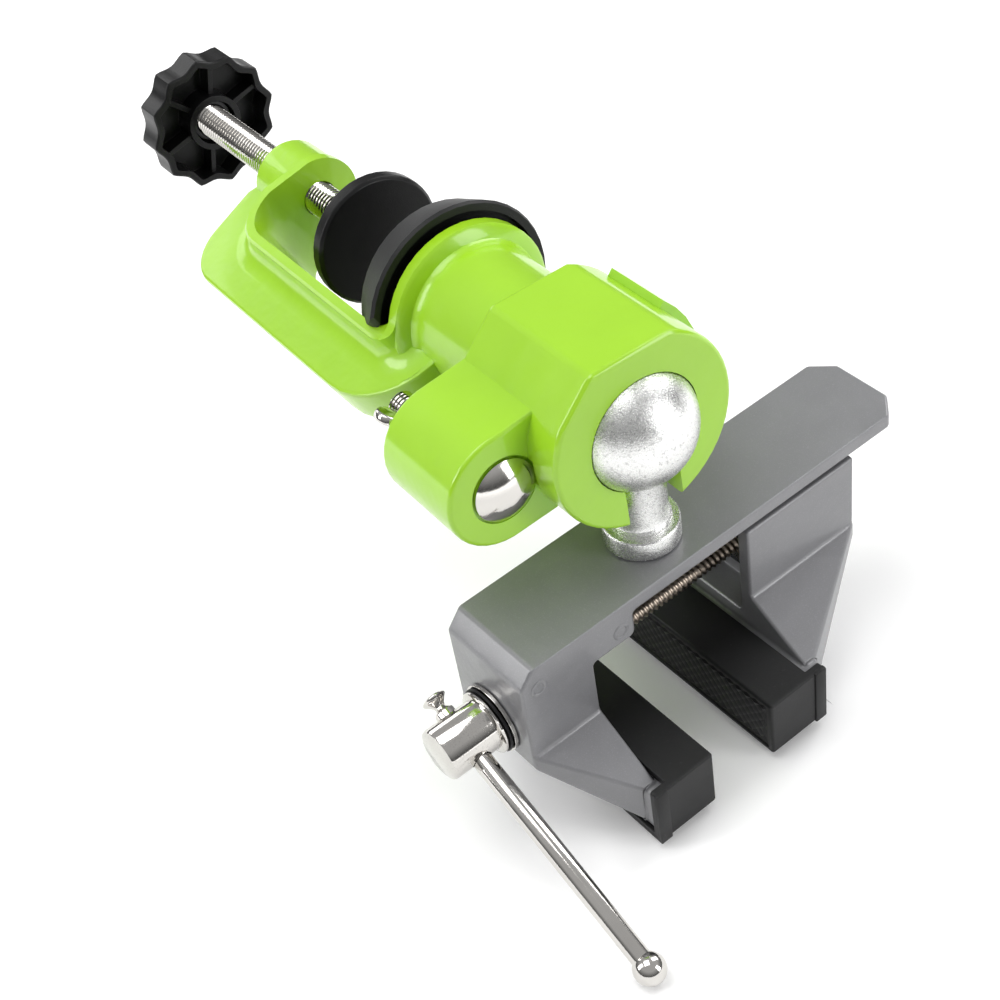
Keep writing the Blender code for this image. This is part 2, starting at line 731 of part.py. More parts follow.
def build_knob(kit, axis):
    rings = [
        (S_KNOB_FRONT, knob_outline(KNOB_EDGE / 2)),
        (S_KNOB_FRONT + KNOB_EDGE / 2, knob_outline(0)),
        (S_KNOB_REAR - KNOB_EDGE, knob_outline(0)),
        (S_KNOB_REAR, knob_outline(KNOB_EDGE)),
    ]
    knob = kit.piece("clamp_knob", loft_mesh("clamp_knob", rings), "black_plastic", axis)
    floor = S_KNOB_REAR - KNOB_FLOOR
    pocket = outline_mesh("knob_pocket_shape", knob_outline(KNOB_RIM), S_KNOB_FRONT - OVERRUN, floor)
    kit.cut(knob, kit.shape("knob_pocket_shape", pocket, axis))
    hub_low = S_KNOB_FRONT - KNOB_HUB_RISE
    hub = cylinder_mesh("knob_hub_shape", KNOB_HUB_R, hub_low, floor + KNOB_FLOOR / 2)
    kit.fuse(knob, kit.shape("knob_hub_shape", hub, axis))
    rib_low = S_KNOB_FRONT + KNOB_RIB_DROP
    rib_reach = KNOB_R - KNOB_RIM / 2 - KNOB_SCALLOP
    for index in range(KNOB_RIBS // 2):
        rib = box_mesh("knob_rib_shape", (-rib_reach, -KNOB_RIB_T / 2, rib_low),
                       (rib_reach, KNOB_RIB_T / 2, floor + KNOB_FLOOR / 2))
        turn = Matrix.Rotation(math.pi * (index + 0.5) / (KNOB_RIBS // 2), 4, "Z")
        kit.fuse(knob, kit.shape("knob_rib_shape", rib, axis, turn))
    bore = cylinder_mesh("knob_bore_shape", KNOB_HUB_BORE, hub_low - OVERRUN, floor)
    kit.cut(knob, kit.shape("knob_bore_shape", bore, axis))

    insert_high = floor - SEAT_GAP
    insert_low = insert_high - INSERT_H
    insert = (
        (SCREW_R + SEAT_GAP, insert_low),
        (INSERT_R, insert_low),
        (INSERT_R, insert_high),
        (SCREW_R + SEAT_GAP, insert_high),
    )
    kit.turned("knob_insert", insert, "brass", axis, steps=SMALL_STEPS, closed=True)


# The socket and its lock

def housing_outline():
    """Round body with a flat top and a slanted left wall, as (x, z)."""
    right = math.asin(HOUSING_TOP / HOUSING_R)
    points = arc((0, 0), HOUSING_R, HOUSING_CREASE_ANGLE, 2 * math.pi + right, 38)
    points.append((-HOUSING_RIDGE_X, HOUSING_TOP))
    return points


def lug_outline():
    points = arc((LUG_X, LUG_Z), LUG_R, math.pi / 2, math.pi * 3 / 2, 18)
    points.append((LUG_ROOT_X, LUG_ROOT_BOTTOM))
    points.append((LUG_ROOT_X, LUG_ROOT_TOP))
    crease_x = HOUSING_R * math.cos(HOUSING_CREASE_ANGLE)
    crease_z = HOUSING_R * math.sin(HOUSING_CREASE_ANGLE)
    points.append((crease_x, crease_z))
    return points


def cavity_outline():
    """Pocket for the fork, open at the rear: round in the lug, wide at the bore."""
    half = FORK_HALF + RUN_GAP
    reach = LUG_R - CAVITY_WALL
    points = arc((LUG_X, LUG_Z), reach, math.pi / 2, math.pi * 3 / 2, 14)
    points.append((CAVITY_STEP_X - CAVITY_WALL, LUG_Z - reach))
    points.append((CAVITY_STEP_X, -half))
    points.append((FORK_TIP_X + RUN_GAP, -half))
    points.append((FORK_TIP_X + RUN_GAP, half))
    points.append((CAVITY_STEP_X, half))
    points.append((CAVITY_STEP_X - CAVITY_WALL, LUG_Z + reach))
    return points


def tab_outline():
    points = arc((0, 0), TAB_R, TAB_LOW_ANGLE, TAB_HIGH_ANGLE, 8)
    inner = HOUSING_R - CAVITY_WALL
    points.extend(arc((0, 0), inner, TAB_HIGH_ANGLE, TAB_LOW_ANGLE, 8))
    return points


def slot_outline():
    """Slot for the stem seen from below: open at the front, round at the rear, as (x, s)."""
    points = arc((0, SLOT_CENTRE_S), SLOT_HALF, 0, math.pi, 12)
    points.append((-SLOT_HALF, S_HOUSING_FRONT - OVERRUN))
    points.append((SLOT_HALF, S_HOUSING_FRONT - OVERRUN))
    return points


def build_housing(kit, axis, cross, slot_plane):
    rear = -S_HOUSING_REAR
    body = outline_mesh("socket_housing", housing_outline(), rear, -S_HOUSING_FRONT)
    housing = kit.piece("socket_housing", body, "lime_paint", cross)
    kit.bevel(housing, HOUSING_EDGE, 3)
    lug = outline_mesh("lug_shape", lug_outline(), rear, -LUG_FRONT_S)
    lug = kit.shape("lug_shape", lug, cross)
    kit.bevel(lug, LUG_EDGE, 3)
    kit.fuse(housing, lug)
    tab = outline_mesh("tab_shape", tab_outline(), -TAB_REAR_S, -TAB_FRONT_S)
    tab = kit.shape("tab_shape", tab, cross)
    kit.fuse(housing, tab)

    bore = [(0, -BORE_R)]
    bore.extend(ball_profile(BORE_R, -math.pi / 2, 0, 14)[1:])
    bore.append((BORE_R, S_HOUSING_REAR + OVERRUN))
    bore.append((0, S_HOUSING_REAR + OVERRUN))
    kit.cut(housing, kit.turned_shape("ball_bore_shape", bore, axis))
    cavity = outline_mesh("cavity_shape", cavity_outline(), rear - OVERRUN, -CAVITY_S)
    kit.cut(housing, kit.shape("cavity_shape", cavity, cross))
    slot = outline_mesh("stem_slot_shape", slot_outline(), -HOUSING_R - OVERRUN, 0)
    kit.cut(housing, kit.shape("stem_slot_shape", slot, slot_plane))
    place = Matrix.Translation((LUG_X, LUG_Z, 0))
    recess = cylinder_mesh("bolt_recess_shape", BOLT_HEAD_R + RUN_GAP * 2, -LUG_FRONT_S - BOLT_RECESS,
                           -LUG_FRONT_S + OVERRUN)
    kit.cut(housing, kit.shape("bolt_recess_shape", recess, cross, place))
    half = BOLT_SQUARE / 2 + SEAT_GAP
    square = box_mesh("bolt_square_shape", (-half, -half, -CAVITY_S - OVERRUN), (half, half, -LUG_FRONT_S))
    kit.cut(housing, kit.shape("bolt_square_shape", square, cross, place))

    seat_high = NECK_FRONT_S - SEAT_GAP
    seat_r = BORE_R - SEAT_GAP
    start = math.asin(SEAT_FRONT_S / BORE_R)
    seat = [(0, seat_high), (seat_r, seat_high), (seat_r, SEAT_FRONT_S)]
    seat.extend(ball_profile(BORE_R, start, math.pi / 2, 8))
    seat = list(reversed(seat))
    kit.turned("ball_seat", seat, "dark_steel", axis)
    return housing


def fork_outline():
    slot = GROOVE_R + RUN_GAP
    points = [(FORK_TIP_X, FORK_HALF), (FORK_SHOULDER_X, FORK_HALF), (FORK_WAIST_X, LUG_Z + FORK_WAIST_HALF)]
    points.extend(arc((LUG_X, LUG_Z), FORK_TAIL_R, math.pi * 0.58, math.pi * 1.42, 12))
    points.append((FORK_WAIST_X, LUG_Z - FORK_WAIST_HALF))
    points.append((FORK_SHOULDER_X, -FORK_HALF))
    points.append((FORK_TIP_X, -FORK_HALF))
    points.append((FORK_TIP_X, -slot))
    points.extend(arc((0, 0), slot, math.pi * 3 / 2, math.pi / 2, 16))
    points.append((FORK_TIP_X, slot))
    return points


def build_lock(kit, cross, bolt_axis, washer_axis, nut_axis):
    fork_low = -CAVITY_S - RUN_GAP - FORK_T
    fork = outline_mesh("lock_fork", fork_outline(), fork_low, -CAVITY_S - RUN_GAP)
    fork = kit.piece("lock_fork", fork, "dark_steel", cross)
    place = Matrix.Translation((LUG_X, LUG_Z, 0))
    hole = cylinder_mesh("fork_hole_shape", BOLT_R + SEAT_GAP, fork_low - OVERRUN, -CAVITY_S + OVERRUN,
                         SMALL_STEPS)
    kit.cut(fork, kit.shape("fork_hole_shape", hole, cross, place))

    head_low = LUG_FRONT_S + BOLT_RECESS - SEAT_GAP
    dome = BOLT_HEAD_H - BOLT_HEAD_RIM
    curve = (BOLT_HEAD_R ** 2 + dome ** 2) / (2 * dome)
    reach = math.asin(BOLT_HEAD_R / curve)
    centre = head_low - BOLT_HEAD_RIM - dome + curve
    bolt = ball_profile(curve, -math.pi / 2, -math.pi / 2 + reach, 6, centre)
    bolt[0] = (0, head_low - BOLT_HEAD_H)
    bolt.append((BOLT_HEAD_R, head_low))
    bolt.append((BOLT_R, head_low))
    bolt.append((BOLT_R, BOLT_END_S))
    bolt.append((0, BOLT_END_S))
    bolt = kit.turned("lock_bolt", bolt, "nickel", bolt_axis, steps=SMALL_STEPS)
    half = BOLT_SQUARE / 2
    square = box_mesh("bolt_neck_shape", (-half, -half, head_low - BOLT_HEAD_RIM / 2),
                      (half, half, head_low + BOLT_SQUARE_H))
    kit.fuse(bolt, kit.shape("bolt_neck_shape", square, bolt_axis))

    washer_low = CAVITY_S + RUN_GAP + FORK_T + SEAT_GAP
    washer_high = washer_low + WASHER_T
    inner = BOLT_R + SEAT_GAP
    washer = ((inner, washer_low), (NUT_WASHER_R, washer_low), (NUT_WASHER_R, washer_high), (inner, washer_high))
    kit.turned("wing_nut_washer", washer, "nickel", washer_axis, steps=SMALL_STEPS, closed=True)

    hub_low = washer_high + SEAT_GAP
    hub_high = hub_low + WING_HUB_H
    hub = ((0, hub_low), (WING_HUB_R, hub_low), (WING_HUB_TOP_R, hub_high), (0, hub_high))
    nut = kit.turned("wing_nut", hub, "nickel", nut_axis, steps=SMALL_STEPS)
    low = WING_ROOT_S
    wing = [
        (0, hub_low + WING_HUB_H / 3),
        (WING_HUB_TOP_R, low),
        (WING_SPAN * 0.72, low),
        (WING_SPAN, low + WING_REACH * 0.42),
        (WING_SPAN, low + WING_REACH * 0.86),
        (WING_SPAN * 0.88, low + WING_REACH),
        (WING_SPAN * 0.7, low + WING_REACH * 0.92),
        (WING_HUB_TOP_R, hub_high - WING_T / 2),
        (0, hub_high - WING_T / 2),
    ]
    side = frame_matrix((1, 0, 0), (0, 0, 1), (0, -1, 0))
    for angle in (WING_ANGLE, WING_ANGLE + math.pi):
        plate = outline_mesh("wing_shape", wing, -WING_T / 2, WING_T / 2)
        plate = kit.shape("wing_shape", plate, nut_axis, Matrix.Rotation(angle, 4, "Z") @ side)
        kit.bevel(plate, WING_EDGE)
        kit.fuse(nut, plate)
    hole = cylinder_mesh("nut_hole_shape", BOLT_R + SEAT_GAP, hub_low - OVERRUN, hub_high + OVERRUN, SMALL_STEPS)
    kit.cut(nut, kit.shape("nut_hole_shape", hole, nut_axis))


# The ball stud

def build_stud(kit, head):
    top = COLLAR_H + COLLAR_STEP_H
    join_angle = -math.acos(STEM_R / BALL_R)
    stem_top = BALL_TO_BEAM + BALL_R * math.sin(join_angle)
    profile = [
        (0, SEAT_GAP),
        (COLLAR_R - COLLAR_EDGE / 2, SEAT_GAP),
        (COLLAR_R, SEAT_GAP + COLLAR_EDGE / 2),
        (COLLAR_R, COLLAR_H - COLLAR_EDGE),
        (COLLAR_R - COLLAR_EDGE, COLLAR_H),
        (COLLAR_STEP_R, COLLAR_H),
        (COLLAR_STEP_R, top - COLLAR_EDGE / 2),
        (COLLAR_STEP_R - COLLAR_EDGE / 2, top),
        (STEM_FLARE_R, top),
    ]
    for index in range(1, 5):
        angle = (math.pi / 2) * index / 4
        radius = STEM_FLARE_R - (STEM_FLARE_R - STEM_R) * math.sin(angle)
        profile.append((radius, top + STEM_FLARE_H * (1 - math.cos(angle))))
    profile.append((STEM_R, stem_top - COLLAR_EDGE))
    profile.append((STEM_R + COLLAR_EDGE / 3, stem_top))
    start = join_angle + 5.0 * DEG
    profile.extend(ball_profile(BALL_R, start, math.pi / 2, 16, BALL_TO_BEAM))
    profile[-1] = (0, BALL_TO_BEAM + BALL_R)
    stud = kit.turned("ball_stud", profile, "blasted_steel", head)
    hole = cylinder_mesh("stud_hole_shape", STUD_SCREW_R + SEAT_GAP, -OVERRUN, STUD_SCREW_DEEP + SEAT_GAP,
                         SMALL_STEPS)
    kit.cut(stud, kit.shape("stud_hole_shape", hole, head))

    washer_high = -BEAM_PLATE - SEAT_GAP
    washer_low = washer_high - STUD_WASHER_T
    inner = STUD_SCREW_R + SEAT_GAP
    washer = ((inner, washer_low), (STUD_WASHER_R, washer_low), (STUD_WASHER_R, washer_high), (inner, washer_high))
    kit.turned("stud_washer", washer, "nickel", head, steps=SMALL_STEPS, closed=True)
    head_high = washer_low - SEAT_GAP
    screw = (
        (0, head_high - STUD_HEAD_H),
        (STUD_HEAD_R - COLLAR_EDGE, head_high - STUD_HEAD_H),
        (STUD_HEAD_R, head_high - STUD_HEAD_H + COLLAR_EDGE),
        (STUD_HEAD_R, head_high),
        (STUD_SCREW_R, head_high),
        (STUD_SCREW_R, STUD_SCREW_DEEP),
        (0, STUD_SCREW_DEEP),
    )
    kit.turned("stud_screw", screw, "nickel", head, steps=SMALL_STEPS)


# The vise head

def cover_face_x():
    return BLOCK_FACE_X + COVER_T


def movable_face_x():
    """Clamping face of the movable cover."""
    return cover_face_x() + JAW_GAP


def movable_plate_x():
    """Rear plane of the movable cover."""
    return movable_face_x() + COVER_T


def movable_casting_x():
    """Where the movable jaw's walls and gussets begin."""
    return movable_plate_x() + JAW_SETBACK


def gusset_points(side, plate_x, tail_x, toward):
    """Corners of a gusset from the block's side out to the jaw plate's end."""
    back_x = plate_x + toward * PLATE_T
    points = []
    for y in (GUSSET_ROOT, BEAM_HALF):
        points.append((tail_x, side * y, CREASE_Z))
        points.append((tail_x, side * y, BLOCK_TAIL_Z))
        points.append((plate_x, side * y, CREASE_Z))
        points.append((plate_x, side * y, JAW_BOTTOM_Z))
        points.append((back_x, side * y, JAW_BOTTOM_Z))
    for x in (plate_x, back_x):
        points.append((x, side * GUSSET_OUT, GUSSET_TOP_Z))
    points.append((plate_x, side * GUSSET_OUT, JAW_BOTTOM_Z))
    points.append((back_x, side * GUSSET_OUT, GUSSET_BOTTOM_Z))
    return points


def add_jaw_plate(kit, jaw, head, label, plate_x, cast_x, tail_x, toward):
    """Gussets and the tongue that carries the rubber cover."""
    for side in (-1, 1):
        name = label + ("_left_gusset" if side < 0 else "_right_gusset")
        gusset = kit.shape(name, hull_mesh(name, gusset_points(side, cast_x, tail_x, toward)), head)
        kit.fuse(jaw, gusset)
    half = COVER_HALF - COVER_SKIN - SEAT_GAP
    near = cast_x + toward * (PLATE_T - SEAT_GAP)
    far = plate_x - toward * TONGUE_T
    low = (min(near, far), -half, COVER_BOTTOM_Z + COVER_SKIN + SEAT_GAP)
    high = (max(near, far), half, GUSSET_TOP_Z - SEAT_GAP)
    tongue = kit.shape(label + "_tongue", box_mesh(label + "_tongue", low, high), head)
    kit.fuse(jaw, tongue)


def build_cover(kit, name, head, plate_x, toward):
    """Rubber cover: a deep bar in front, a slot for the plate, lips behind its ends."""
    face = plate_x - toward * COVER_T
    lip = plate_x + toward * COVER_LIP
    low = (min(face, lip), -COVER_HALF, COVER_BOTTOM_Z)
    high = (max(face, lip), COVER_HALF, COVER_TOP_Z)
    cover = kit.piece(name, box_mesh(name, low, high), "black_rubber", head)
    kit.bevel(cover, COVER_EDGE)
    half = COVER_HALF - COVER_SKIN
    floor = COVER_BOTTOM_Z + COVER_SKIN
    behind = lip + toward * OVERRUN
    seat = plate_x - toward * SEAT_GAP
    rear = box_mesh(name + "_rear_shape",
                    (min(seat, behind), -half, floor),
                    (max(seat, behind), half, COVER_TOP_Z + OVERRUN))
    kit.cut(cover, kit.shape(name + "_rear_shape", rear, head))
    front = plate_x - toward * (TONGUE_T + SEAT_GAP)
    inside = plate_x + toward * OVERRUN
    slot = box_mesh(name + "_slot_shape",
                    (min(front, inside), -half, floor),
                    (max(front, inside), half, GUSSET_TOP_Z))
    kit.cut(cover, kit.shape(name + "_slot_shape", slot, head))
    return cover


def build_vise_body(kit, head, side_plane):
    plan = [
        (BEAM_LEFT, -BEAM_HALF),
        (BEAM_RIGHT - END_CHAMFER_X, -BEAM_HALF),
        (BEAM_RIGHT, -BEAM_HALF + END_CHAMFER_Y),
        (BEAM_RIGHT, BEAM_HALF - END_CHAMFER_Y),
        (BEAM_RIGHT - END_CHAMFER_X, BEAM_HALF),
        (BEAM_LEFT, BEAM_HALF),
    ]
    body = kit.piece("vise_body", outline_mesh("vise_body", plan, -BEAM_T, 0), "gray_paint", head)

    chamfer = [
        (BEAM_LEFT - OVERRUN, OVERRUN),
        (BEAM_LEFT + LEFT_CHAMFER_X * (1 + OVERRUN / LEFT_CHAMFER_Z), OVERRUN),
        (BEAM_LEFT, -LEFT_CHAMFER_Z),
        (BEAM_LEFT - OVERRUN, -LEFT_CHAMFER_Z),
    ]
    block = [
        (BEAM_LEFT, -BEAM_T / 2),
        (BEAM_LEFT, BLOCK_TAIL_Z),
        (BLOCK_FACE_X - PLATE_T, JAW_BOTTOM_Z),
        (BLOCK_FACE_X, JAW_BOTTOM_Z),
        (BLOCK_FACE_X, BLOCK_STEP_Z),
        (BLOCK_STEP_X, BLOCK_STEP_Z),
        (BLOCK_STEP_X, -BEAM_T / 2),
    ]
    block = rounded(block, (0, 0, 0, 0, BLOCK_STEP_CORNER / 2, BLOCK_STEP_CORNER, 0))
    block = outline_mesh("block_shape", block, -BEAM_HALF, BEAM_HALF)
    kit.fuse(body, kit.shape("block_shape", block, side_plane))
    chamfer = outline_mesh("chamfer_shape", chamfer, -BEAM_HALF - OVERRUN, BEAM_HALF + OVERRUN)
    chamfer = kit.shape("chamfer_shape", chamfer, side_plane)
    kit.cut(body, chamfer)

    rail_in = RAIL_OUT - RAIL_T
    rail = [
        (BLOCK_STEP_X - BEAM_T / 2, -BEAM_T / 2),
        (BLOCK_STEP_X - BEAM_T / 2, RAIL_BOTTOM_Z),
        (RAIL_END_X - RAIL_CHAMFER, RAIL_BOTTOM_Z),
        (RAIL_END_X, RAIL_BOTTOM_Z + RAIL_CHAMFER),
        (RAIL_END_X, -BEAM_T / 2),
    ]
    rails = outline_mesh("rail_shape", rail, -RAIL_OUT, RAIL_OUT)
    kit.fuse(body, kit.shape("rail_shape", rails, side_plane))
    slide_low = RAIL_BOTTOM_Z + RAIL_LIP_H
    slide = box_mesh("slide_slot_shape", (BLOCK_STEP_X, -rail_in, slide_low),
                     (RAIL_END_X + OVERRUN, rail_in, -BEAM_PLATE))
    kit.cut(body, kit.shape("slide_slot_shape", slide, head))
    lip_in = rail_in - RAIL_LIP
    mouth = box_mesh("slide_mouth_shape", (BLOCK_STEP_X, -lip_in, RAIL_BOTTOM_Z - OVERRUN),
                     (RAIL_END_X + OVERRUN, lip_in, slide_low + OVERRUN / 2))
    kit.cut(body, kit.shape("slide_mouth_shape", mouth, head))

    add_jaw_plate(kit, body, head, "fixed", BLOCK_FACE_X, BLOCK_FACE_X, BEAM_LEFT, -1)

    lead = Matrix.Translation((0, 0, LEAD_Z)) @ frame_matrix((0, 1, 0), (0, 0, 1), (1, 0, 0))
    bore = cylinder_mesh("lead_bore_shape", LEAD_HOLE_R, BEAM_LEFT - OVERRUN, BLOCK_FACE_X + OVERRUN, SMALL_STEPS)
    kit.cut(body, kit.shape("lead_bore_shape", bore, head, lead))
    stud = cylinder_mesh("stud_bore_shape", STUD_SCREW_R + SEAT_GAP, -BEAM_T - OVERRUN, OVERRUN, SMALL_STEPS)
    kit.cut(body, kit.shape("stud_bore_shape", stud, head))
    stop_x = RAIL_END_X - RAIL_CHAMFER - STOP_T / 2
    stop = cylinder_mesh("stop_bore_shape", STOP_SCREW_R + SEAT_GAP, -BEAM_PLATE - OVERRUN / 2,
                         -BEAM_PLATE + STOP_SCREW_DEEP + SEAT_GAP, SMALL_STEPS, (stop_x, 0))
    kit.cut(body, kit.shape("stop_bore_shape", stop, head))
    return body


def build_stop(kit, head):
    """Small block that closes the slide's end, held by a screw from below."""
    centre = RAIL_END_X - RAIL_CHAMFER - STOP_T / 2
    half = RAIL_OUT - RAIL_T - RAIL_LIP - SEAT_GAP
    stop = box_mesh("slide_stop", (centre - STOP_T, -half, RAIL_BOTTOM_Z + SEAT_GAP),
                    (centre + STOP_T, half, -BEAM_PLATE - SEAT_GAP))
    stop = kit.piece("slide_stop", stop, "dark_steel", head)
    hole = cylinder_mesh("stop_hole_shape", STOP_SCREW_R + SEAT_GAP, RAIL_BOTTOM_Z - OVERRUN, 0, SMALL_STEPS,
                         (centre, 0))
    kit.cut(stop, kit.shape("stop_hole_shape", hole, head))
    under = RAIL_BOTTOM_Z
    screw = (
        (0, under - STOP_SCREW_HEAD_H),
        (STOP_SCREW_HEAD_R, under - STOP_SCREW_HEAD_H),
        (STOP_SCREW_HEAD_R, under),
        (STOP_SCREW_R, under),
        (STOP_SCREW_R, -BEAM_PLATE + STOP_SCREW_DEEP),
        (0, -BEAM_PLATE + STOP_SCREW_DEEP),
    )
    place = Matrix.Translation((centre, 0, 0))
    kit.turned("stop_screw", screw, "nickel", head, place, SMALL_STEPS)


def build_movable_jaw(kit, jaw_frame, side_plane):
    """Casting under the rails: core, side walls, gussets, T-key and a recess round the nut."""
    face = movable_casting_x()
    back = face + JAW_L
    core = [
        (face, JAW_CORE_Z),
        (face, JAW_BOTTOM_Z),
        (face + PLATE_T, JAW_BOTTOM_Z),
        (back, BLOCK_TAIL_Z),
        (back, JAW_CORE_Z),
    ]
    jaw = outline_mesh("movable_jaw", core, -BEAM_HALF, BEAM_HALF)
    jaw = kit.piece("movable_jaw", jaw, "gray_paint", side_plane)
    wall_in = BEAM_HALF - JAW_WALL
    for side in (-1, 1):
        name = "jaw_wall_shape"
        low_y = min(side * wall_in, side * BEAM_HALF)
        high_y = max(side * wall_in, side * BEAM_HALF)
        wall = box_mesh(name, (face, low_y, CREASE_Z), (back, high_y, JAW_TOP_Z))
        kit.fuse(jaw, kit.shape(name, wall, jaw_frame))
    add_jaw_plate(kit, jaw, jaw_frame, "movable", movable_plate_x(), face, back, 1)
    recess = box_mesh("jaw_recess_shape", (face - OVERRUN, -wall_in, JAW_RECESS_Z),
                      (face + JAW_RECESS, wall_in, JAW_CORE_Z + OVERRUN))
    kit.cut(jaw, kit.shape("jaw_recess_shape", recess, jaw_frame))

    rail_in = RAIL_OUT - RAIL_T
    key_x = face + KEY_FROM_FACE
    lip_top = RAIL_BOTTOM_Z + RAIL_LIP_H
    stem = box_mesh("key_stem_shape", (key_x, -KEY_HALF + RUN_GAP, JAW_CORE_Z - OVERRUN),
                    (key_x + KEY_L, KEY_HALF - RUN_GAP, lip_top + OVERRUN))
    kit.fuse(jaw, kit.shape("key_stem_shape", stem, jaw_frame))
    top = box_mesh("key_head_shape", (key_x, -rail_in + RUN_GAP, lip_top + RUN_GAP),
                   (key_x + KEY_L, rail_in - RUN_GAP, -BEAM_PLATE - RUN_GAP))
    kit.fuse(jaw, kit.shape("key_head_shape", top, jaw_frame))

    nut_x = face + JAW_RECESS
    pocket = box_mesh("nut_pocket_shape",
                      (nut_x - OVERRUN, -NUT_HALF_Y - SEAT_GAP, LEAD_Z - NUT_HALF_Z - SEAT_GAP),
                      (nut_x + NUT_L + SEAT_GAP, NUT_HALF_Y + SEAT_GAP, LEAD_Z + NUT_HALF_Z + SEAT_GAP))
    kit.cut(jaw, kit.shape("nut_pocket_shape", pocket, jaw_frame))
    lead = Matrix.Translation((0, 0, LEAD_Z)) @ frame_matrix((0, 1, 0), (0, 0, 1), (1, 0, 0))
    bore = cylinder_mesh("jaw_bore_shape", LEAD_HOLE_R + SEAT_GAP, face, back + OVERRUN, SMALL_STEPS)
    kit.cut(jaw, kit.shape("jaw_bore_shape", bore, jaw_frame, lead))

    nut = box_mesh("lead_nut", (nut_x, -NUT_HALF_Y, LEAD_Z - NUT_HALF_Z),
                   (nut_x + NUT_L, NUT_HALF_Y, LEAD_Z + NUT_HALF_Z))
    nut = kit.piece("lead_nut", nut, "brass", jaw_frame)
    hole = cylinder_mesh("nut_bore_shape", LEAD_HOLE_R, nut_x - OVERRUN, nut_x + NUT_L + OVERRUN, SMALL_STEPS)
    kit.cut(nut, kit.shape("nut_bore_shape", hole, jaw_frame, lead))
    return jaw


def build_lead_screw(kit, lead):
    """Profiles along local Z, which is the screw's axis toward the far end."""
    washer_high = BEAM_LEFT - SEAT_GAP
    washer_low = washer_high - THRUST_T
    inner = LEAD_R + RUN_GAP
    washer = ((inner, washer_low), (THRUST_R, washer_low), (THRUST_R, washer_high), (inner, washer_high))
    kit.turned("thrust_washer", washer, "nickel", lead, closed=True)
    ring_high = washer_low - SEAT_GAP
    ring_low = ring_high - RING_T
    ring = ((inner, ring_low), (RING_R, ring_low), (RING_R, ring_high), (inner, ring_high))
    kit.turned("thrust_ring", ring, "black_rubber", lead, closed=True)

    flange_high = ring_low - SEAT_GAP
    flange_low = flange_high - HEAD_FLANGE_T
    profile = (
        (0, HEAD_END_X),
        (HEAD_R - HEAD_EDGE, HEAD_END_X),
        (HEAD_R, HEAD_END_X + HEAD_EDGE),
        (HEAD_R, flange_low),
        (HEAD_FLANGE_R, flange_low),
        (HEAD_FLANGE_R, flange_high),
        (LEAD_R, flange_high),
        (LEAD_R, LEAD_END_X - LEAD_R / 3),
        (LEAD_R * 2 / 3, LEAD_END_X),
        (0, LEAD_END_X),
    )
    screw = kit.turned("lead_screw", profile, "thread_steel", lead)
    lever = Matrix.Translation((0, 0, LEVER_X)) @ lever_turn()
    hole = cylinder_mesh("lever_hole_shape", LEVER_HOLE_R, -HEAD_R - OVERRUN, HEAD_R + OVERRUN, SMALL_STEPS)
    kit.cut(screw, kit.shape("lever_hole_shape", hole, lead, lever))

    collar_high = LEAD_COLLAR_X + LEAD_COLLAR_T
    bore = LEAD_R + SEAT_GAP
    collar = (
        (bore, LEAD_COLLAR_X),
        (LEAD_COLLAR_R, LEAD_COLLAR_X),
        (LEAD_COLLAR_R, collar_high),
        (bore, collar_high),
    )
    kit.turned("lead_collar", collar, "dark_steel", lead, steps=SMALL_STEPS, closed=True)


def lever_turn():
    """Turns local Z of the lead screw's frame to the lever's direction, in its cross plane."""
    down = Vector((-math.cos(LEVER_ANGLE), -math.sin(LEVER_ANGLE), 0))
    side = Vector((0, 0, 1))
    return frame_matrix(side, down.cross(side), down)


def build_lever(kit, lever):
    neck = LEVER_NECK_AT + LEVER_R - LEVER_NECK_R
    ball_start = -math.acos(LEVER_R / LEVER_BALL_R)
    profile = [
        (0, -LEVER_BELL_AT - LEVER_BELL_T),
        (LEVER_BELL_R - LEVER_BELL_T / 2, -LEVER_BELL_AT - LEVER_BELL_T),
        (LEVER_BELL_R, -LEVER_BELL_AT - LEVER_BELL_T / 2),
        (LEVER_BELL_R - LEVER_BELL_T / 4, -LEVER_BELL_AT),
        (LEVER_NECK_R, -neck - LEVER_NECK_R / 2),
        (LEVER_NECK_R, -neck),
        (LEVER_R, -LEVER_NECK_AT),
    ]
    profile.extend(ball_profile(LEVER_BALL_R, ball_start, math.pi / 2, 10, LEVER_BALL_AT))
    profile[-1] = (0, LEVER_BALL_AT + LEVER_BALL_R)
    kit.turned("lever_bar", profile, "nickel", lever, steps=SMALL_STEPS)


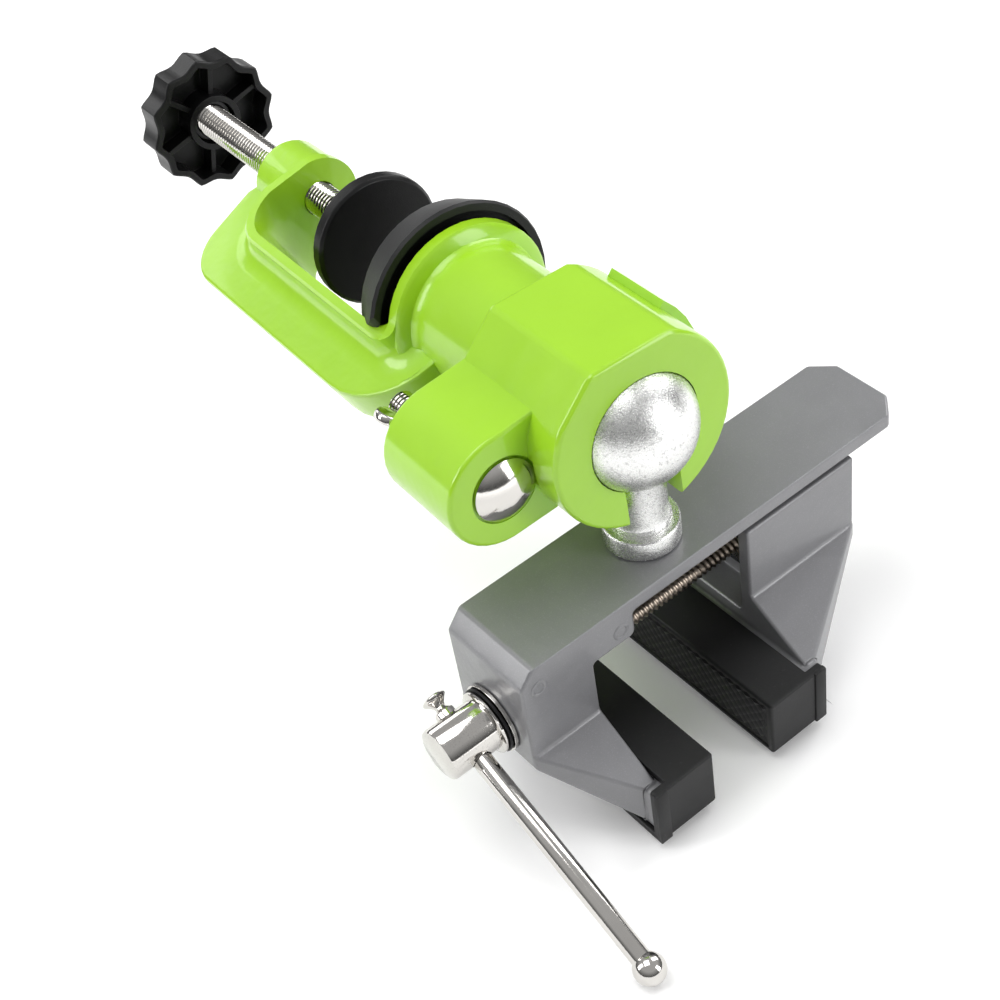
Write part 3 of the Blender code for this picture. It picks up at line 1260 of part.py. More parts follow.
def main():
    clear_scene()
    kit = Kit()
    ball = (0, -S_BENCH, 0)
    root = kit.empty("clamp_root")
    # Local Z along the clamp axis, heights measured from the ball centre
    axis = kit.empty("clamp_axis", root, frame_matrix((1, 0, 0), (0, 0, -1), (0, 1, 0), ball))
    spine = Vector((math.cos(C_ROLL), 0, math.sin(C_ROLL)))
    along = Vector((0, 1, 0))
    across = along.cross(spine)
    # Local X along the clamp axis, local Y toward the spine
    c_plane = kit.empty("c_plane", root, frame_matrix(along, spine, across, ball))
    # Local X toward the spine, local Z along the clamp axis
    arm_plane = kit.empty("arm_plane", root, frame_matrix(spine, across, along, ball))
    build_clamp_frame(kit, axis, c_plane, arm_plane)
    build_fixed_pad(kit, axis, c_plane)
    pad_axis = kit.empty("pad_slide", root, axis.matrix_local.copy())
    screw_axis = kit.empty("screw_turn", pad_axis)
    build_clamp_screw(kit, screw_axis, pad_axis)
    build_knob(kit, screw_axis)

    # The socket turns about the clamp axis
    socket = kit.empty("socket_swivel", root, Matrix.Translation(ball))
    socket_axis = kit.empty("socket_axis", socket, frame_matrix((1, 0, 0), (0, 0, -1), (0, 1, 0)))
    cross = kit.empty("socket_cross", socket, frame_matrix((1, 0, 0), (0, 0, 1), (0, -1, 0)))
    slot_plane = kit.empty("socket_slot", socket)
    build_housing(kit, socket_axis, cross, slot_plane)
    place = frame_matrix((1, 0, 0), (0, 0, -1), (0, 1, 0), (LUG_X, 0, LUG_Z))
    bolt_axis = kit.empty("lock_bolt_axis", socket, place)
    washer_axis = kit.empty("washer_slide", socket, place)
    nut_axis = kit.empty("wing_nut_turn", washer_axis)
    build_lock(kit, cross, bolt_axis, washer_axis, nut_axis)

    # The stud tilts about X through the ball centre, the head spins about the stem
    tilt = kit.empty("ball_tilt", socket, Matrix.Rotation(HEAD_TILT, 4, "X"))
    stud = kit.empty("stud_frame", tilt, Matrix.Translation((0, 0, -BALL_TO_BEAM)))
    spin = kit.empty("head_spin", tilt, Matrix.Rotation(HEAD_YAW, 4, "Z"))
    head = kit.empty("head_frame", spin, Matrix.Translation((0, 0, -BALL_TO_BEAM)))
    side_plane = kit.empty("head_side", head, frame_matrix((1, 0, 0), (0, 0, 1), (0, -1, 0)))
    build_stud(kit, stud)
    build_vise_body(kit, head, side_plane)
    build_cover(kit, "fixed_jaw_cover", head, BLOCK_FACE_X, -1)
    build_stop(kit, head)
    jaw_frame = kit.empty("jaw_slide", head)
    jaw_side = kit.empty("jaw_side", jaw_frame, side_plane.matrix_local.copy())
    build_movable_jaw(kit, jaw_frame, jaw_side)
    build_cover(kit, "movable_jaw_cover", jaw_frame, movable_plate_x(), 1)
    lead = kit.empty("lead_turn", head, frame_matrix((0, 1, 0), (0, 0, 1), (1, 0, 0), (0, 0, LEAD_Z)))
    build_lead_screw(kit, lead)
    lever = kit.empty("lever_slide", lead, Matrix.Translation((0, 0, LEVER_X)) @ lever_turn())
    build_lever(kit, lever)


main()
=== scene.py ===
"""Swivel bench vise with a table clamp: its looks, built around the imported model."""
import math

import bmesh
import bpy
from bpy.props import FloatProperty, FloatVectorProperty, PointerProperty
from mathutils import Matrix, Vector


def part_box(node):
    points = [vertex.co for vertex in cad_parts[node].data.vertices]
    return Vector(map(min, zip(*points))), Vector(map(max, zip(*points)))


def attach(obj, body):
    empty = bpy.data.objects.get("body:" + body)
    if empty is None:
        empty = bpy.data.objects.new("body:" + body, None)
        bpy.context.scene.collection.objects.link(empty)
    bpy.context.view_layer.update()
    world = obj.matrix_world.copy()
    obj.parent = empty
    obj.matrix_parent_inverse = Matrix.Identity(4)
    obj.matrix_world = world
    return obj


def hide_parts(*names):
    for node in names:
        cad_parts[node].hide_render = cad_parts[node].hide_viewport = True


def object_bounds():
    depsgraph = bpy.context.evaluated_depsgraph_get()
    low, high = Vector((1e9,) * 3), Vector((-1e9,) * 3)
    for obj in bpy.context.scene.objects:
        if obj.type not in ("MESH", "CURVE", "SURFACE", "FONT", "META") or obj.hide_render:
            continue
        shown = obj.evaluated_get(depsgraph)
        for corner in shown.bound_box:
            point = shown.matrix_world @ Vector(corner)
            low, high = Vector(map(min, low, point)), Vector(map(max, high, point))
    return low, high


bl_info = {
    "name": "Swivel bench vise",
    "version": (1, 0, 0),
    "blender": (4, 5, 0),
    "location": "3D View > Sidebar > Bench vise",
    "description": "Dresses a swivel bench vise with a table clamp",
    "category": "Add Mesh",
}

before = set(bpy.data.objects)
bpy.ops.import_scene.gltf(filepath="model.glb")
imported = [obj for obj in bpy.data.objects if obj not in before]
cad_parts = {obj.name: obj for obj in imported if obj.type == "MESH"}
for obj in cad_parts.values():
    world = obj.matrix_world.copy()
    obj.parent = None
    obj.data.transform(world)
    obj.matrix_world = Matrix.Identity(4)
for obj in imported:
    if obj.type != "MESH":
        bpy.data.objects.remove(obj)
CAD_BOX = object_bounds()

MM = 0.001
TURN = 2 * math.pi
QUARTER = math.pi / 2
WELD = 0.000002

# Angles between two faces: from where an edge is shaded sharp, rounded on a casting or
# rounded on a slab, and up to where two facets are joined
SHARP_FROM = math.radians(38)
ROUNDED_FROM = math.radians(30)
SLAB_ROUNDED_FROM = math.radians(50)
JOINED_TO = math.radians(0.6)

# Places shared by the pieces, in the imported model's frame
BALL = Vector((0, -84.8 * MM, 0))
BALL_TO_BEAM = 38.7 * MM
HEAD_TILT = math.radians(3.6)
HEAD_YAW = math.radians(3.3)
LEAD_Z = -26.6 * MM
LEVER_X = -62.8 * MM
LEVER_ANGLE = math.radians(23.8)
LUG = Vector((-34.0 * MM, 0, -3.0 * MM))

# The clamp casting's flange and the band that rises from it: radii and half widths from the
# clamp axis, heights along it from the ball
SPINE_ROLL = math.radians(206)
FLANGE_RIM = 24.0 * MM
FLANGE_LOW = 67.25 * MM
FLANGE_HIGH = 70.4 * MM
BAND_HALF = 15.05 * MM
BAND_OUTSIDE = 23.65 * MM
BAND_BEND = 6.0 * MM
HOLLOW = 8.0 * MM

# The jaw covers in the head's axes: where their clamping faces lie along the beam, half the
# tread's length, its lowest and highest line and its depth, and the band round the open side
FIXED_FACE = -15.7 * MM
MOVABLE_FACE = 4.8 * MM
TREAD_HALF = 37.6 * MM
TREAD_LOW = -58.0 * MM
TREAD_HIGH = -41.4 * MM
TREAD_DEPTH = 0.45 * MM
TREAD_SKIRT = 0.4 * MM
TREAD_VALLEY = 0.05 * MM
BEAD_NEAR = 15.7 * MM
BEAD_FAR = 19.6 * MM
BEAD_OUTER = 39.9 * MM
BEAD_INNER = 38.2 * MM
BEAD_TOP = -39.9 * MM
BEAD_BOTTOM = -59.6 * MM
BEAD_THICK = 1.7 * MM

# Rounding of the moulded and turned parts' edges
PAD_EDGE = 0.35 * MM
DISC_EDGE = 0.25 * MM
KNOB_EDGE = 0.4 * MM
COVER_EDGE = 0.35 * MM
BEAD_EDGE = 0.4 * MM
EAR_EDGE = 0.75 * MM
SMALL_EDGE = 0.12 * MM

# The fixed pad is wider than its solid, and the knob stands half a lobe round from its own
PAD_GROWTH = 1.065
HALF_LOBE = math.radians(15)

# Depth of a thread as a share of its pitch
METRIC_DEPTH = 0.55
LEAD_DEPTH = 0.28

# The lead screw's thread along its axis
LEAD_LOW = -52.0 * MM
LEAD_HIGH = 64.5 * MM

# The lock bolt's domed head and shank
DOME_RADIUS = 8.5 * MM
DOME_RISE = 3.4 * MM
DOME_RIM = 0.9 * MM
SHANK = 20.0 * MM

# The wing nut's ears, with heights measured from the ball
EAR_ANGLES = (math.radians(36), math.radians(216))
EAR_HALF = 1.3 * MM
EAR_ROOT = 35.4 * MM
EAR_REACH = 13.6 * MM
EAR_RADIUS = 4.1 * MM

# Profiles in millimetres, as (radius, height)
COLLAR = ((0, 0.3), (9.7, 0.3), (10.1, 0.7), (10.1, 5.8), (10.0, 6.1), (9.7, 6.4), (8.1, 6.4),
          (8.0, 6.5), (8.0, 7.5), (7.7, 7.8))
LEAD_HEAD = ((0, -71.2), (6.25, -71.2), (6.95, -70.9), (7.25, -70.3), (7.25, -56.7),
             (8.7, -56.5), (8.9, -56.3), (8.9, -55.8))
LEVER_DRILL = ((0, -11), (2.95, -11), (2.95, 11), (0, 11))
LEVER_TAIL = ((0, -13.3), (2.5, -13.3), (3.1, -13.0), (3.4, -12.6), (3.3, -12.2), (2.6, -11.6),
              (1.7, -10.6), (1.45, -9.9), (1.7, -9.3), (2.55, -8.6), (2.75, -8.2))
MARK_RING = ((1.5, -0.3), (1.5, 0.05), (1.7, 0.20), (2.0, 0.26), (2.3, 0.20), (2.5, 0.05),
             (2.5, -0.3))

# The ejector marks on the block's side, in millimetres along the beam and up
MARK_SIDE = -14.7
MARKS = ((-47.6, -7.4), (-21.2, -8.4))

# Parts that keep their packed form: finish, body, slot
SMALL_PARTS = {
    "ball_seat": ("black_steel", "clamp", "dark_steel"),
    "lock_fork": ("black_steel", "socket", "dark_steel"),
    "wing_nut_washer": ("plating", "washer", "plated"),
    "stud_washer": ("plating", "vise", "plated"),
    "stud_screw": ("plating", "vise", "plated"),
    "slide_stop": ("black_steel", "vise", "dark_steel"),
    "stop_screw": ("plating", "vise", "plated"),
    "lead_nut": ("brass", "jaw", "brass"),
    "thrust_washer": ("turned", "lead", "plated"),
    "thrust_ring": ("rubber", "lead", "pad_rubber"),
    "lead_collar": ("black_steel", "lead", "dark_steel"),
    "pad_retainer": ("plating", "pad", "plated"),
    "knob_insert": ("black_steel", "screw", "dark_steel"),
}

# The stage: floor, sky levels by height, lights and camera
FLOOR_RADIUS = 2.4
FLOOR_GAP = 0.2 * MM
FLOOR_WHITE_FROM = 0.35
FLOOR_WHITE_AT = 0.9
SKY_BANDS = ((0.0, 0.55), (0.42, 0.22), (0.52, 0.16), (0.62, 0.45), (0.80, 1.0), (1.0, 1.0))
LIGHT_TARGET = (0.0, -0.02, -0.02)
LIGHTS = (
    # name, place, size, watts, which level it follows
    ("key", (-0.25, 0.1, 1.25), (0.8, 0.8), 7.2, "key"),
    ("left_box", (-0.87, 0.34, 0.52), (0.35, 0.7), 4.5, "fill"),
    ("right_box", (0.85, 0.04, 0.67), (0.4, 0.8), 5.0, "fill"),
    ("front_box", (0.59, -1.02, 0.37), (0.4, 0.7), 5.0, "fill"),
    ("rear", (-0.1, 1.3, 0.5), (0.8, 0.5), 3.0, "fill"),
)
CAMERA_PLACE = (-0.1782241, -0.3655662, 0.2730280)
CAMERA_DEGREES = (48.22009, 9.72267, -35.06216)
CAMERA_LENS = 64.8
CAMERA_SENSOR = 36.0


def basis(x_axis, y_axis, z_axis, origin=(0, 0, 0)):
    matrix = Matrix((Vector(x_axis), Vector(y_axis), Vector(z_axis))).transposed().to_4x4()
    matrix.translation = Vector(origin)
    return matrix


def clamp_frame_axes(origin=BALL):
    """Local Z along the clamp screw, heights measured from the ball centre."""
    return basis((1, 0, 0), (0, 0, -1), (0, 1, 0), origin)


def tilt_axes():
    return Matrix.Translation(BALL) @ Matrix.Rotation(HEAD_TILT, 4, "X")


def stud_axes():
    """Local Z up the stem, heights measured from the beam's top face."""
    return tilt_axes() @ Matrix.Translation((0, 0, -BALL_TO_BEAM))


def head_axes():
    """The vise head: X along the beam, Z up the stem, origin on the beam's top face."""
    down = Matrix.Translation((0, 0, -BALL_TO_BEAM))
    return tilt_axes() @ Matrix.Rotation(HEAD_YAW, 4, "Z") @ down


def beam_axes(height=0.0):
    """In the head: local X across the jaws, Y up, Z along the beam."""
    return head_axes() @ basis((0, 1, 0), (0, 0, 1), (1, 0, 0), (0, 0, height))


def lead_axes():
    """Local Z along the lead screw, toward the far end of the beam."""
    return beam_axes(LEAD_Z)


def lever_axes():
    """Local Z down the lever, from where it passes through the lead screw's head."""
    down = Vector((-math.cos(LEVER_ANGLE), -math.sin(LEVER_ANGLE), 0))
    side = Vector((0, 0, 1))
    return lead_axes() @ basis(side, down.cross(side), down, (0, 0, LEVER_X))


def about_clamp(change):
    """A change made about the clamp screw's axis."""
    return clamp_frame_axes() @ change @ clamp_frame_axes().inverted()


# Sizes and colours that a user would change

def length(name, description, default):
    return FloatProperty(name=name, description=description, default=default, min=0.0,
                         unit="LENGTH", precision=5)


def colour(name, description, default):
    return FloatVectorProperty(name=name, description=description, default=default, min=0.0,
                               max=1.0, size=3, subtype="COLOR")


def share(name, description, default):
    return FloatProperty(name=name, description=description, default=default, min=0.0, max=4.0)


class VISE_PG_clamp(bpy.types.PropertyGroup):
    screw_radius: length("Screw radius", "Outer radius of the clamp screw's thread", 0.005)
    screw_pitch: length("Screw pitch", "Distance between the clamp screw's threads", 0.0015)
    bolt_radius: length("Lock bolt radius", "Outer radius of the lock bolt's thread", 0.0039)
    bolt_pitch: length("Lock bolt pitch", "Distance between the lock bolt's threads", 0.00125)
    edge: length("Cast edge", "Rounding of the castings' edges", 0.0007)


class VISE_PG_head(bpy.types.PropertyGroup):
    ball_radius: length("Ball radius", "Radius of the ball that the head hangs from", 0.0168)
    lead_radius: length("Lead screw radius", "Outer radius of the lead screw's thread", 0.0024)
    lead_pitch: length("Lead screw pitch", "Distance between the lead screw's threads", 0.00175)
    diamond: length("Tread pitch", "Distance between the diamonds on the jaw covers", 0.0032)
    diamond_rise: length("Tread height", "Height of the diamonds on the jaw covers", 0.0005)
    edge: length("Cast edge", "Rounding of the castings' edges", 0.0009)


class VISE_PG_finish(bpy.types.PropertyGroup):
    lime: colour("Lime paint", "Paint on the clamp and the socket", (0.33, 0.63, 0.012))
    gray: colour("Gray paint", "Paint on the vise head", (0.205, 0.205, 0.215))
    rubber: colour("Rubber", "Jaw covers, fixed pad and thrust ring", (0.007, 0.007, 0.0075))
    plastic: colour("Plastic", "Knob and pressure pad", (0.003, 0.003, 0.0033))
    plating: colour("Plating", "Screws, washers, wing nut and lever", (0.66, 0.64, 0.61))
    satin: colour("Satin steel", "Ball stud", (0.80, 0.80, 0.79))
    thread: colour("Lead screw steel", "Oiled steel of the lead screw", (0.34, 0.29, 0.24))
    black_steel: colour("Black steel", "Seat, fork, stop, collar and insert", (0.05, 0.05, 0.052))
    brass: colour("Brass", "Nut in the movable jaw", (0.62, 0.44, 0.18))


class VISE_PG_stage(bpy.types.PropertyGroup):
    key: share("Key light", "Level of the large light above", 1.0)
    fill: share("Fill light", "Level of the boxes all round", 1.0)
    sky: share("Sky", "Level of the light from all round", 0.50)


def settings(group):
    return getattr(bpy.context.scene, "vise_" + group)


# Shader maths

class Value:
    """A number in a node tree that Python's operators can be used on."""

    def __init__(self, nodes, socket):
        self.nodes = nodes
        self.socket = socket

    def math(self, operation, first, second):
        node = self.nodes.node("ShaderNodeMath", {"operation": operation}, {0: first, 1: second})
        return self.nodes.value(node)

    def __add__(self, other):
        return self.math("ADD", self, other)

    def __radd__(self, other):
        return self.math("ADD", other, self)

    def __sub__(self, other):
        return self.math("SUBTRACT", self, other)

    def __rsub__(self, other):
        return self.math("SUBTRACT", other, self)

    def __mul__(self, other):
        return self.math("MULTIPLY", self, other)

    def __rmul__(self, other):
        return self.math("MULTIPLY", other, self)


class Nodes:
    """A node tree: node() adds any node, value() starts a sum."""

    def __init__(self, tree):
        self.tree = tree

    def feed(self, socket, source):
        """Links a socket or value, or sets a plain number or colour."""
        if isinstance(source, Value):
            source = source.socket
        if isinstance(source, bpy.types.NodeSocket):
            self.tree.links.new(source, socket)
        else:
            socket.default_value = source

    def node(self, kind, choices=None, inputs=None):
        """A node of some kind: its settings or colour stops first, then its sockets."""
        node = self.tree.nodes.new(kind)
        for key, choice in (choices or {}).items():
            if key == "stops":
                elements = node.color_ramp.elements
                while len(elements) < len(choice):
                    elements.new(1.0)
                for element, (position, level) in zip(elements, choice):
                    element.position = position
                    element.color = (level, level, level, 1.0)
            else:
                setattr(node, key, choice)
        for key, source in (inputs or {}).items():
            self.feed(node.inputs[key], source)
        return node

    def value(self, node, output=0):
        return Value(self, node.outputs[output])


class Finish(Nodes):
    """One material, with the textures that the finishes share."""

    def __init__(self, name):
        self.material = bpy.data.materials.new(name)
        self.material.use_nodes = True
        super().__init__(self.material.node_tree)
        self.shader = self.tree.nodes["Principled BSDF"]
        self.place = self.node("ShaderNodeTexCoord").outputs["Object"]

    def noise(self, scale, detail=2.0, roughness=0.5, place=None):
        inputs = {"Vector": place or self.place, "Scale": scale, "Detail": detail,
                  "Roughness": roughness}
        return self.value(self.node("ShaderNodeTexNoise", None, inputs), "Fac")

    def stretched(self, scale):
        """Object coordinates with a scale for each axis, for turned grain."""
        inputs = {"Vector": self.place, "Scale": scale}
        return self.node("ShaderNodeMapping", None, inputs).outputs[0]

    def cells(self, scale):
        inputs = {"Vector": self.place, "Scale": scale}
        return self.value(self.node("ShaderNodeTexVoronoi", None, inputs), "Distance")

    def ramp(self, source, low, high):
        """Source spread from 0 at low to 1 at high."""
        inputs = {"Value": source, "From Min": low, "From Max": high}
        return self.value(self.node("ShaderNodeMapRange", {"clamp": True}, inputs))

    def blend(self, factor, first, second):
        """One colour turning into another, through the Mix node's colour sockets."""
        inputs = {"Factor": factor, 6: first, 7: second}
        return self.node("ShaderNodeMix", {"data_type": "RGBA"}, inputs).outputs[2]

    def bump(self, height, distance, strength=0.5, normal=None):
        inputs = {"Height": height, "Distance": distance, "Strength": strength}
        if normal is not None:
            inputs["Normal"] = normal
        return self.node("ShaderNodeBump", None, inputs).outputs[0]

    def surface(self, **inputs):
        """Feeds the shader, with an underscore for each space in a socket's name."""
        for key, source in inputs.items():
            self.feed(self.shader.inputs[key.replace("_", " ")], source)


def shaded(tone, level):
    """A tone made darker or lighter, as a colour socket takes it."""
    return tuple(min(part * level, 1.0) for part in tone) + (1.0,)


def make_lime_paint(tone):
    """Glossy paint with a little orange peel and dust over the cast surface."""
    paint = Finish("lime_paint")
    clouds = paint.noise(scale=55.0, detail=3.0)
    dust = paint.ramp(paint.noise(scale=2600.0), low=0.70, high=0.78)
    body = paint.blend(clouds, shaded(tone, 0.94), shaded(tone, 1.05))
    body = paint.blend(dust * 0.25, body, shaded(tone, 0.55))
    cast = paint.bump(paint.noise(scale=130.0), distance=0.0005)
    peel = paint.bump(paint.noise(scale=420.0), distance=0.00008, normal=cast)
    paint.surface(Base_Color=body, Roughness=0.30 + clouds * 0.10, Normal=peel)
    paint.surface(Coat_Weight=0.55, Coat_Roughness=0.06)
    return paint.material


def make_gray_paint(tone):
    """Satin paint with fine grain and pale metal flakes over the cast surface."""
    paint = Finish("gray_paint")
    clouds = paint.noise(scale=70.0, detail=3.0)
    grain = paint.noise(scale=1700.0, detail=3.0, roughness=0.65)
    flake = paint.ramp(paint.noise(scale=3400.0, detail=1.0), low=0.58, high=0.72)
    body = paint.blend(clouds, shaded(tone, 0.9), shaded(tone, 1.1))
    body = paint.blend(flake * 0.35, body, shaded(tone, 1.5))
    cast = paint.bump(paint.noise(scale=150.0), distance=0.0005)
    skin = paint.bump(grain, distance=0.00006, normal=cast)
    paint.surface(Base_Color=body, Roughness=0.30 + grain * 0.12, Normal=skin)
    paint.surface(Metallic=0.12, Coat_Weight=0.4, Coat_Roughness=0.12)
    return paint.material


def make_rubber(tone):
    """Dull rubber with a bloom, dust and a fine grain."""
    rubber = Finish("jaw_rubber")
    bloom = rubber.noise(scale=60.0, detail=4.0)
    dust = rubber.ramp(rubber.noise(scale=900.0), low=0.66, high=0.76)
    body = rubber.blend(bloom, shaded(tone, 0.8), shaded(tone, 1.5))
    body = rubber.blend(dust * 0.25, body, shaded(tone, 5.0))
    grain = rubber.noise(scale=1500.0, detail=3.0, roughness=0.6)
    skin = rubber.bump(grain, distance=0.00006, strength=0.6)
    rubber.surface(Base_Color=body, Roughness=0.40 + bloom * 0.16, Normal=skin)
    rubber.surface(Specular_IOR_Level=0.30)
    return rubber.material


def make_plastic(tone):
    """Moulded plastic with a spark-eroded texture and some wear."""
    plastic = Finish("black_plastic")
    wear = plastic.noise(scale=80.0, detail=3.0)
    body = plastic.blend(wear, shaded(tone, 0.8), shaded(tone, 1.4))
    skin = plastic.bump(plastic.cells(scale=2600.0), distance=0.00004)
    plastic.surface(Base_Color=body, Roughness=0.26 + wear * 0.16, Normal=skin)
    plastic.surface(Specular_IOR_Level=0.28)
    return plastic.material


def make_satin_steel(tone):
    """Blasted steel with dark pits."""
    steel = Finish("satin_steel")
    blast = steel.noise(scale=2200.0, detail=3.0, roughness=0.7)
    pits = steel.ramp(steel.noise(scale=1100.0), low=0.56, high=0.72)
    clouds = steel.noise(scale=70.0, detail=3.0)
    body = steel.blend(clouds, shaded(tone, 0.88), shaded(tone, 1.12))
    body = steel.blend(pits * 0.5, body, shaded(tone, 0.35))
    skin = steel.bump(blast, distance=0.00010, strength=1.0)
    steel.surface(Base_Color=body, Roughness=0.20 + blast * 0.14, Normal=skin, Metallic=1.0)
    return steel.material


def make_turned_steel(tone):
    """Turned and plated steel with rings and dull speckle."""
    steel = Finish("turned_steel")
    clouds = steel.noise(scale=110.0, detail=3.0)
    speckle = steel.ramp(steel.noise(scale=1900.0, roughness=0.7), low=0.55, high=0.70)
    body = steel.blend(clouds, shaded(tone, 0.85), shaded(tone, 1.1))
    body = steel.blend(speckle * 0.3, body, shaded(tone, 0.45))
    turned = steel.stretched((1400.0, 60.0, 60.0))
    rings = steel.noise(scale=1.0, detail=3.0, roughness=0.6, place=turned)
    skin = steel.bump(rings, distance=0.00003)
    steel.surface(Base_Color=body, Roughness=0.08 + speckle * 0.18, Normal=skin, Metallic=1.0)
    return steel.material


def make_metal(name, tone, shades, gloss, clouds, fine, grain, metallic=1.0):
    """Metal whose tone and gloss vary in clouds over a grain.

    shades are its darkest and lightest level, gloss its least roughness and how much the
    clouds add, fine the grain's scale and detail, and grain the height of its bumps.
    """
    metal = Finish(name)
    film = metal.noise(scale=clouds, detail=4.0)
    body = metal.blend(film, shaded(tone, shades[0]), shaded(tone, shades[1]))
    skin = metal.bump(metal.noise(scale=fine[0], detail=fine[1]), distance=grain)
    metal.surface(Base_Color=body, Roughness=gloss[0] + film * gloss[1], Normal=skin)
    metal.surface(Metallic=metallic)
    return metal.material


def make_plating(tone):
    return make_metal("plating", tone, shades=(0.86, 1.08), gloss=(0.06, 0.10), clouds=90.0,
                      fine=(900.0, 3.0), grain=0.00003)


def make_lead_steel(tone):
    return make_metal("lead_steel", tone, shades=(0.62, 1.25), gloss=(0.22, 0.18), clouds=160.0,
                      fine=(1800.0, 2.0), grain=0.00004)


def make_black_steel(tone):
    return make_metal("black_steel", tone, shades=(0.7, 1.4), gloss=(0.34, 0.2), clouds=150.0,
                      fine=(1600.0, 2.0), grain=0.00005, metallic=0.8)


def make_brass(tone):
    return make_metal("brass", tone, shades=(0.75, 1.1), gloss=(0.22, 0.2), clouds=120.0,
                      fine=(1500.0, 2.0), grain=0.00004)


# Each finish's maker and the user's colour that it takes
MAKERS = {
    "lime": (make_lime_paint, "lime"),
    "gray": (make_gray_paint, "gray"),
    "rubber": (make_rubber, "rubber"),
    "plastic": (make_plastic, "plastic"),
    "plating": (make_plating, "plating"),
    "satin": (make_satin_steel, "satin"),
    "thread": (make_lead_steel, "thread"),
    "turned": (make_turned_steel, "plating"),
    "black_steel": (make_black_steel, "black_steel"),
    "brass": (make_brass, "brass"),
}
FINISHES = {}


def finish_of(name):
    """Makes each finish once, from the user's colours."""
    if name not in FINISHES:
        maker, tone = MAKERS[name]
        FINISHES[name] = maker(getattr(settings("finish"), tone))
    return FINISHES[name]


# Mesh tools

def crisp(mesh):
    mesh.shade_smooth()
    mesh.set_sharp_from_angle(angle=SHARP_FROM)


def to_mesh(bm, name, place):
    bmesh.ops.transform(bm, matrix=place, verts=bm.verts)
    bmesh.ops.recalc_face_normals(bm, faces=bm.faces)
    mesh = bpy.data.meshes.new(name)
    bm.to_mesh(mesh)
    bm.free()
    crisp(mesh)
    return mesh


def show(name, mesh, finish, body, nodes=()):
    """Links a finished piece and ties it to its CAD body and nodes."""
    mesh.materials.clear()
    mesh.materials.append(finish_of(finish))
    item = bpy.data.objects.new(name, mesh)
    bpy.context.scene.collection.objects.link(item)
    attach(item, body)
    if nodes:
        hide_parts(*nodes)


def applied(mesh, *steps, sharpen=True):
    """The mesh after some modifiers: (kind, {setting: value})."""
    item = bpy.data.objects.new(mesh.name + "_work", mesh)
    bpy.context.scene.collection.objects.link(item)
    helpers = []
    for kind, choices in steps:
        step = item.modifiers.new(kind, kind)
        for key, choice in choices.items():
            if isinstance(choice, bpy.types.Mesh):
                choice = bpy.data.objects.new(choice.name + "_work", choice)
                bpy.context.scene.collection.objects.link(choice)
                helpers.append(choice)
            setattr(step, key, choice)
    bpy.context.view_layer.update()
    graph = bpy.context.evaluated_depsgraph_get()
    result = bpy.data.meshes.new_from_object(item.evaluated_get(graph))
    for helper in helpers + [item]:
        bpy.data.objects.remove(helper, do_unlink=True)
    if sharpen:
        crisp(result)
    return result


def bevel_step(width, segments, clamp):
    return ("BEVEL", {"width": width, "segments": segments, "limit_method": "ANGLE",
                      "angle_limit": ROUNDED_FROM, "miter_outer": "MITER_ARC",
                      "use_clamp_overlap": clamp})


def boolean_step(mesh, operation="UNION"):
    return ("BOOLEAN", {"operation": operation, "solver": "EXACT", "object": mesh})


def level_faces(mesh):
    """Flat faces shaded flat, so only their rounded edges catch the light."""
    return applied(mesh, ("WEIGHTED_NORMAL", {"keep_sharp": True}), sharpen=False)


def cad_copy(node, edge, segments=2, place=None, steps=(), clamp=True):
    """A CAD node's form with its facets joined and its sharp edges rounded."""
    bm = bmesh.new()
    bm.from_mesh(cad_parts[node].data)
    bmesh.ops.remove_doubles(bm, verts=bm.verts, dist=WELD)
    bmesh.ops.dissolve_limit(bm, angle_limit=JOINED_TO, verts=bm.verts, edges=bm.edges)
    if place is not None:
        bmesh.ops.transform(bm, matrix=place, verts=bm.verts)
    mesh = bpy.data.meshes.new(node + "_form")
    bm.to_mesh(mesh)
    bm.free()
    crisp(mesh)
    return level_faces(applied(mesh, *steps, bevel_step(edge, segments, clamp)))


def in_metres(points):
    return [(first * MM, second * MM) for first, second in points]


def arc(centre, radius, start, end, steps):
    """Points along an arc, from one angle to another."""
    points = []
    for index in range(steps + 1):
        angle = start + (end - start) * index / steps
        points.append((centre[0] + radius * math.cos(angle),
                       centre[1] + radius * math.sin(angle)))
    return points


def outlined(bm, points, closed=False):
    """A (radius, height) profile as vertices and edges in the local XZ plane."""
    verts = [bm.verts.new((radius, 0, height)) for radius, height in points]
    edges = [bm.edges.new(pair) for pair in zip(verts, verts[1:])]
    if closed:
        edges.append(bm.edges.new((verts[-1], verts[0])))
    return verts + edges


def spun(name, profile, steps, place, closed=False):
    """A (radius, height) profile turned about local Z."""
    bm = bmesh.new()
    bmesh.ops.spin(bm, geom=outlined(bm, profile, closed), cent=(0, 0, 0), axis=(0, 0, 1),
                   angle=TURN, steps=steps, use_merge=True)
    bmesh.ops.remove_doubles(bm, verts=bm.verts, dist=WELD)
    return to_mesh(bm, name, place)


def slab(name, outline, low, high, place, edge=0.0, segments=3):
    """A flat outline extruded between two heights, with rounded edges."""
    bm = bmesh.new()
    face = bm.faces.new([bm.verts.new((x, y, low)) for x, y in outline])
    grown = bmesh.ops.extrude_face_region(bm, geom=[face])["geom"]
    moved = [item for item in grown if isinstance(item, bmesh.types.BMVert)]
    bmesh.ops.translate(bm, vec=(0, 0, high - low), verts=moved)
    bmesh.ops.recalc_face_normals(bm, faces=bm.faces)
    if edge > 0:
        rims = [item for item in bm.edges if item.calc_face_angle(0) > SLAB_ROUNDED_FROM]
        bmesh.ops.bevel(bm, geom=rims, offset=edge, segments=segments, profile=0.5,
                        affect="EDGES", material=-1)
    return to_mesh(bm, name, place)


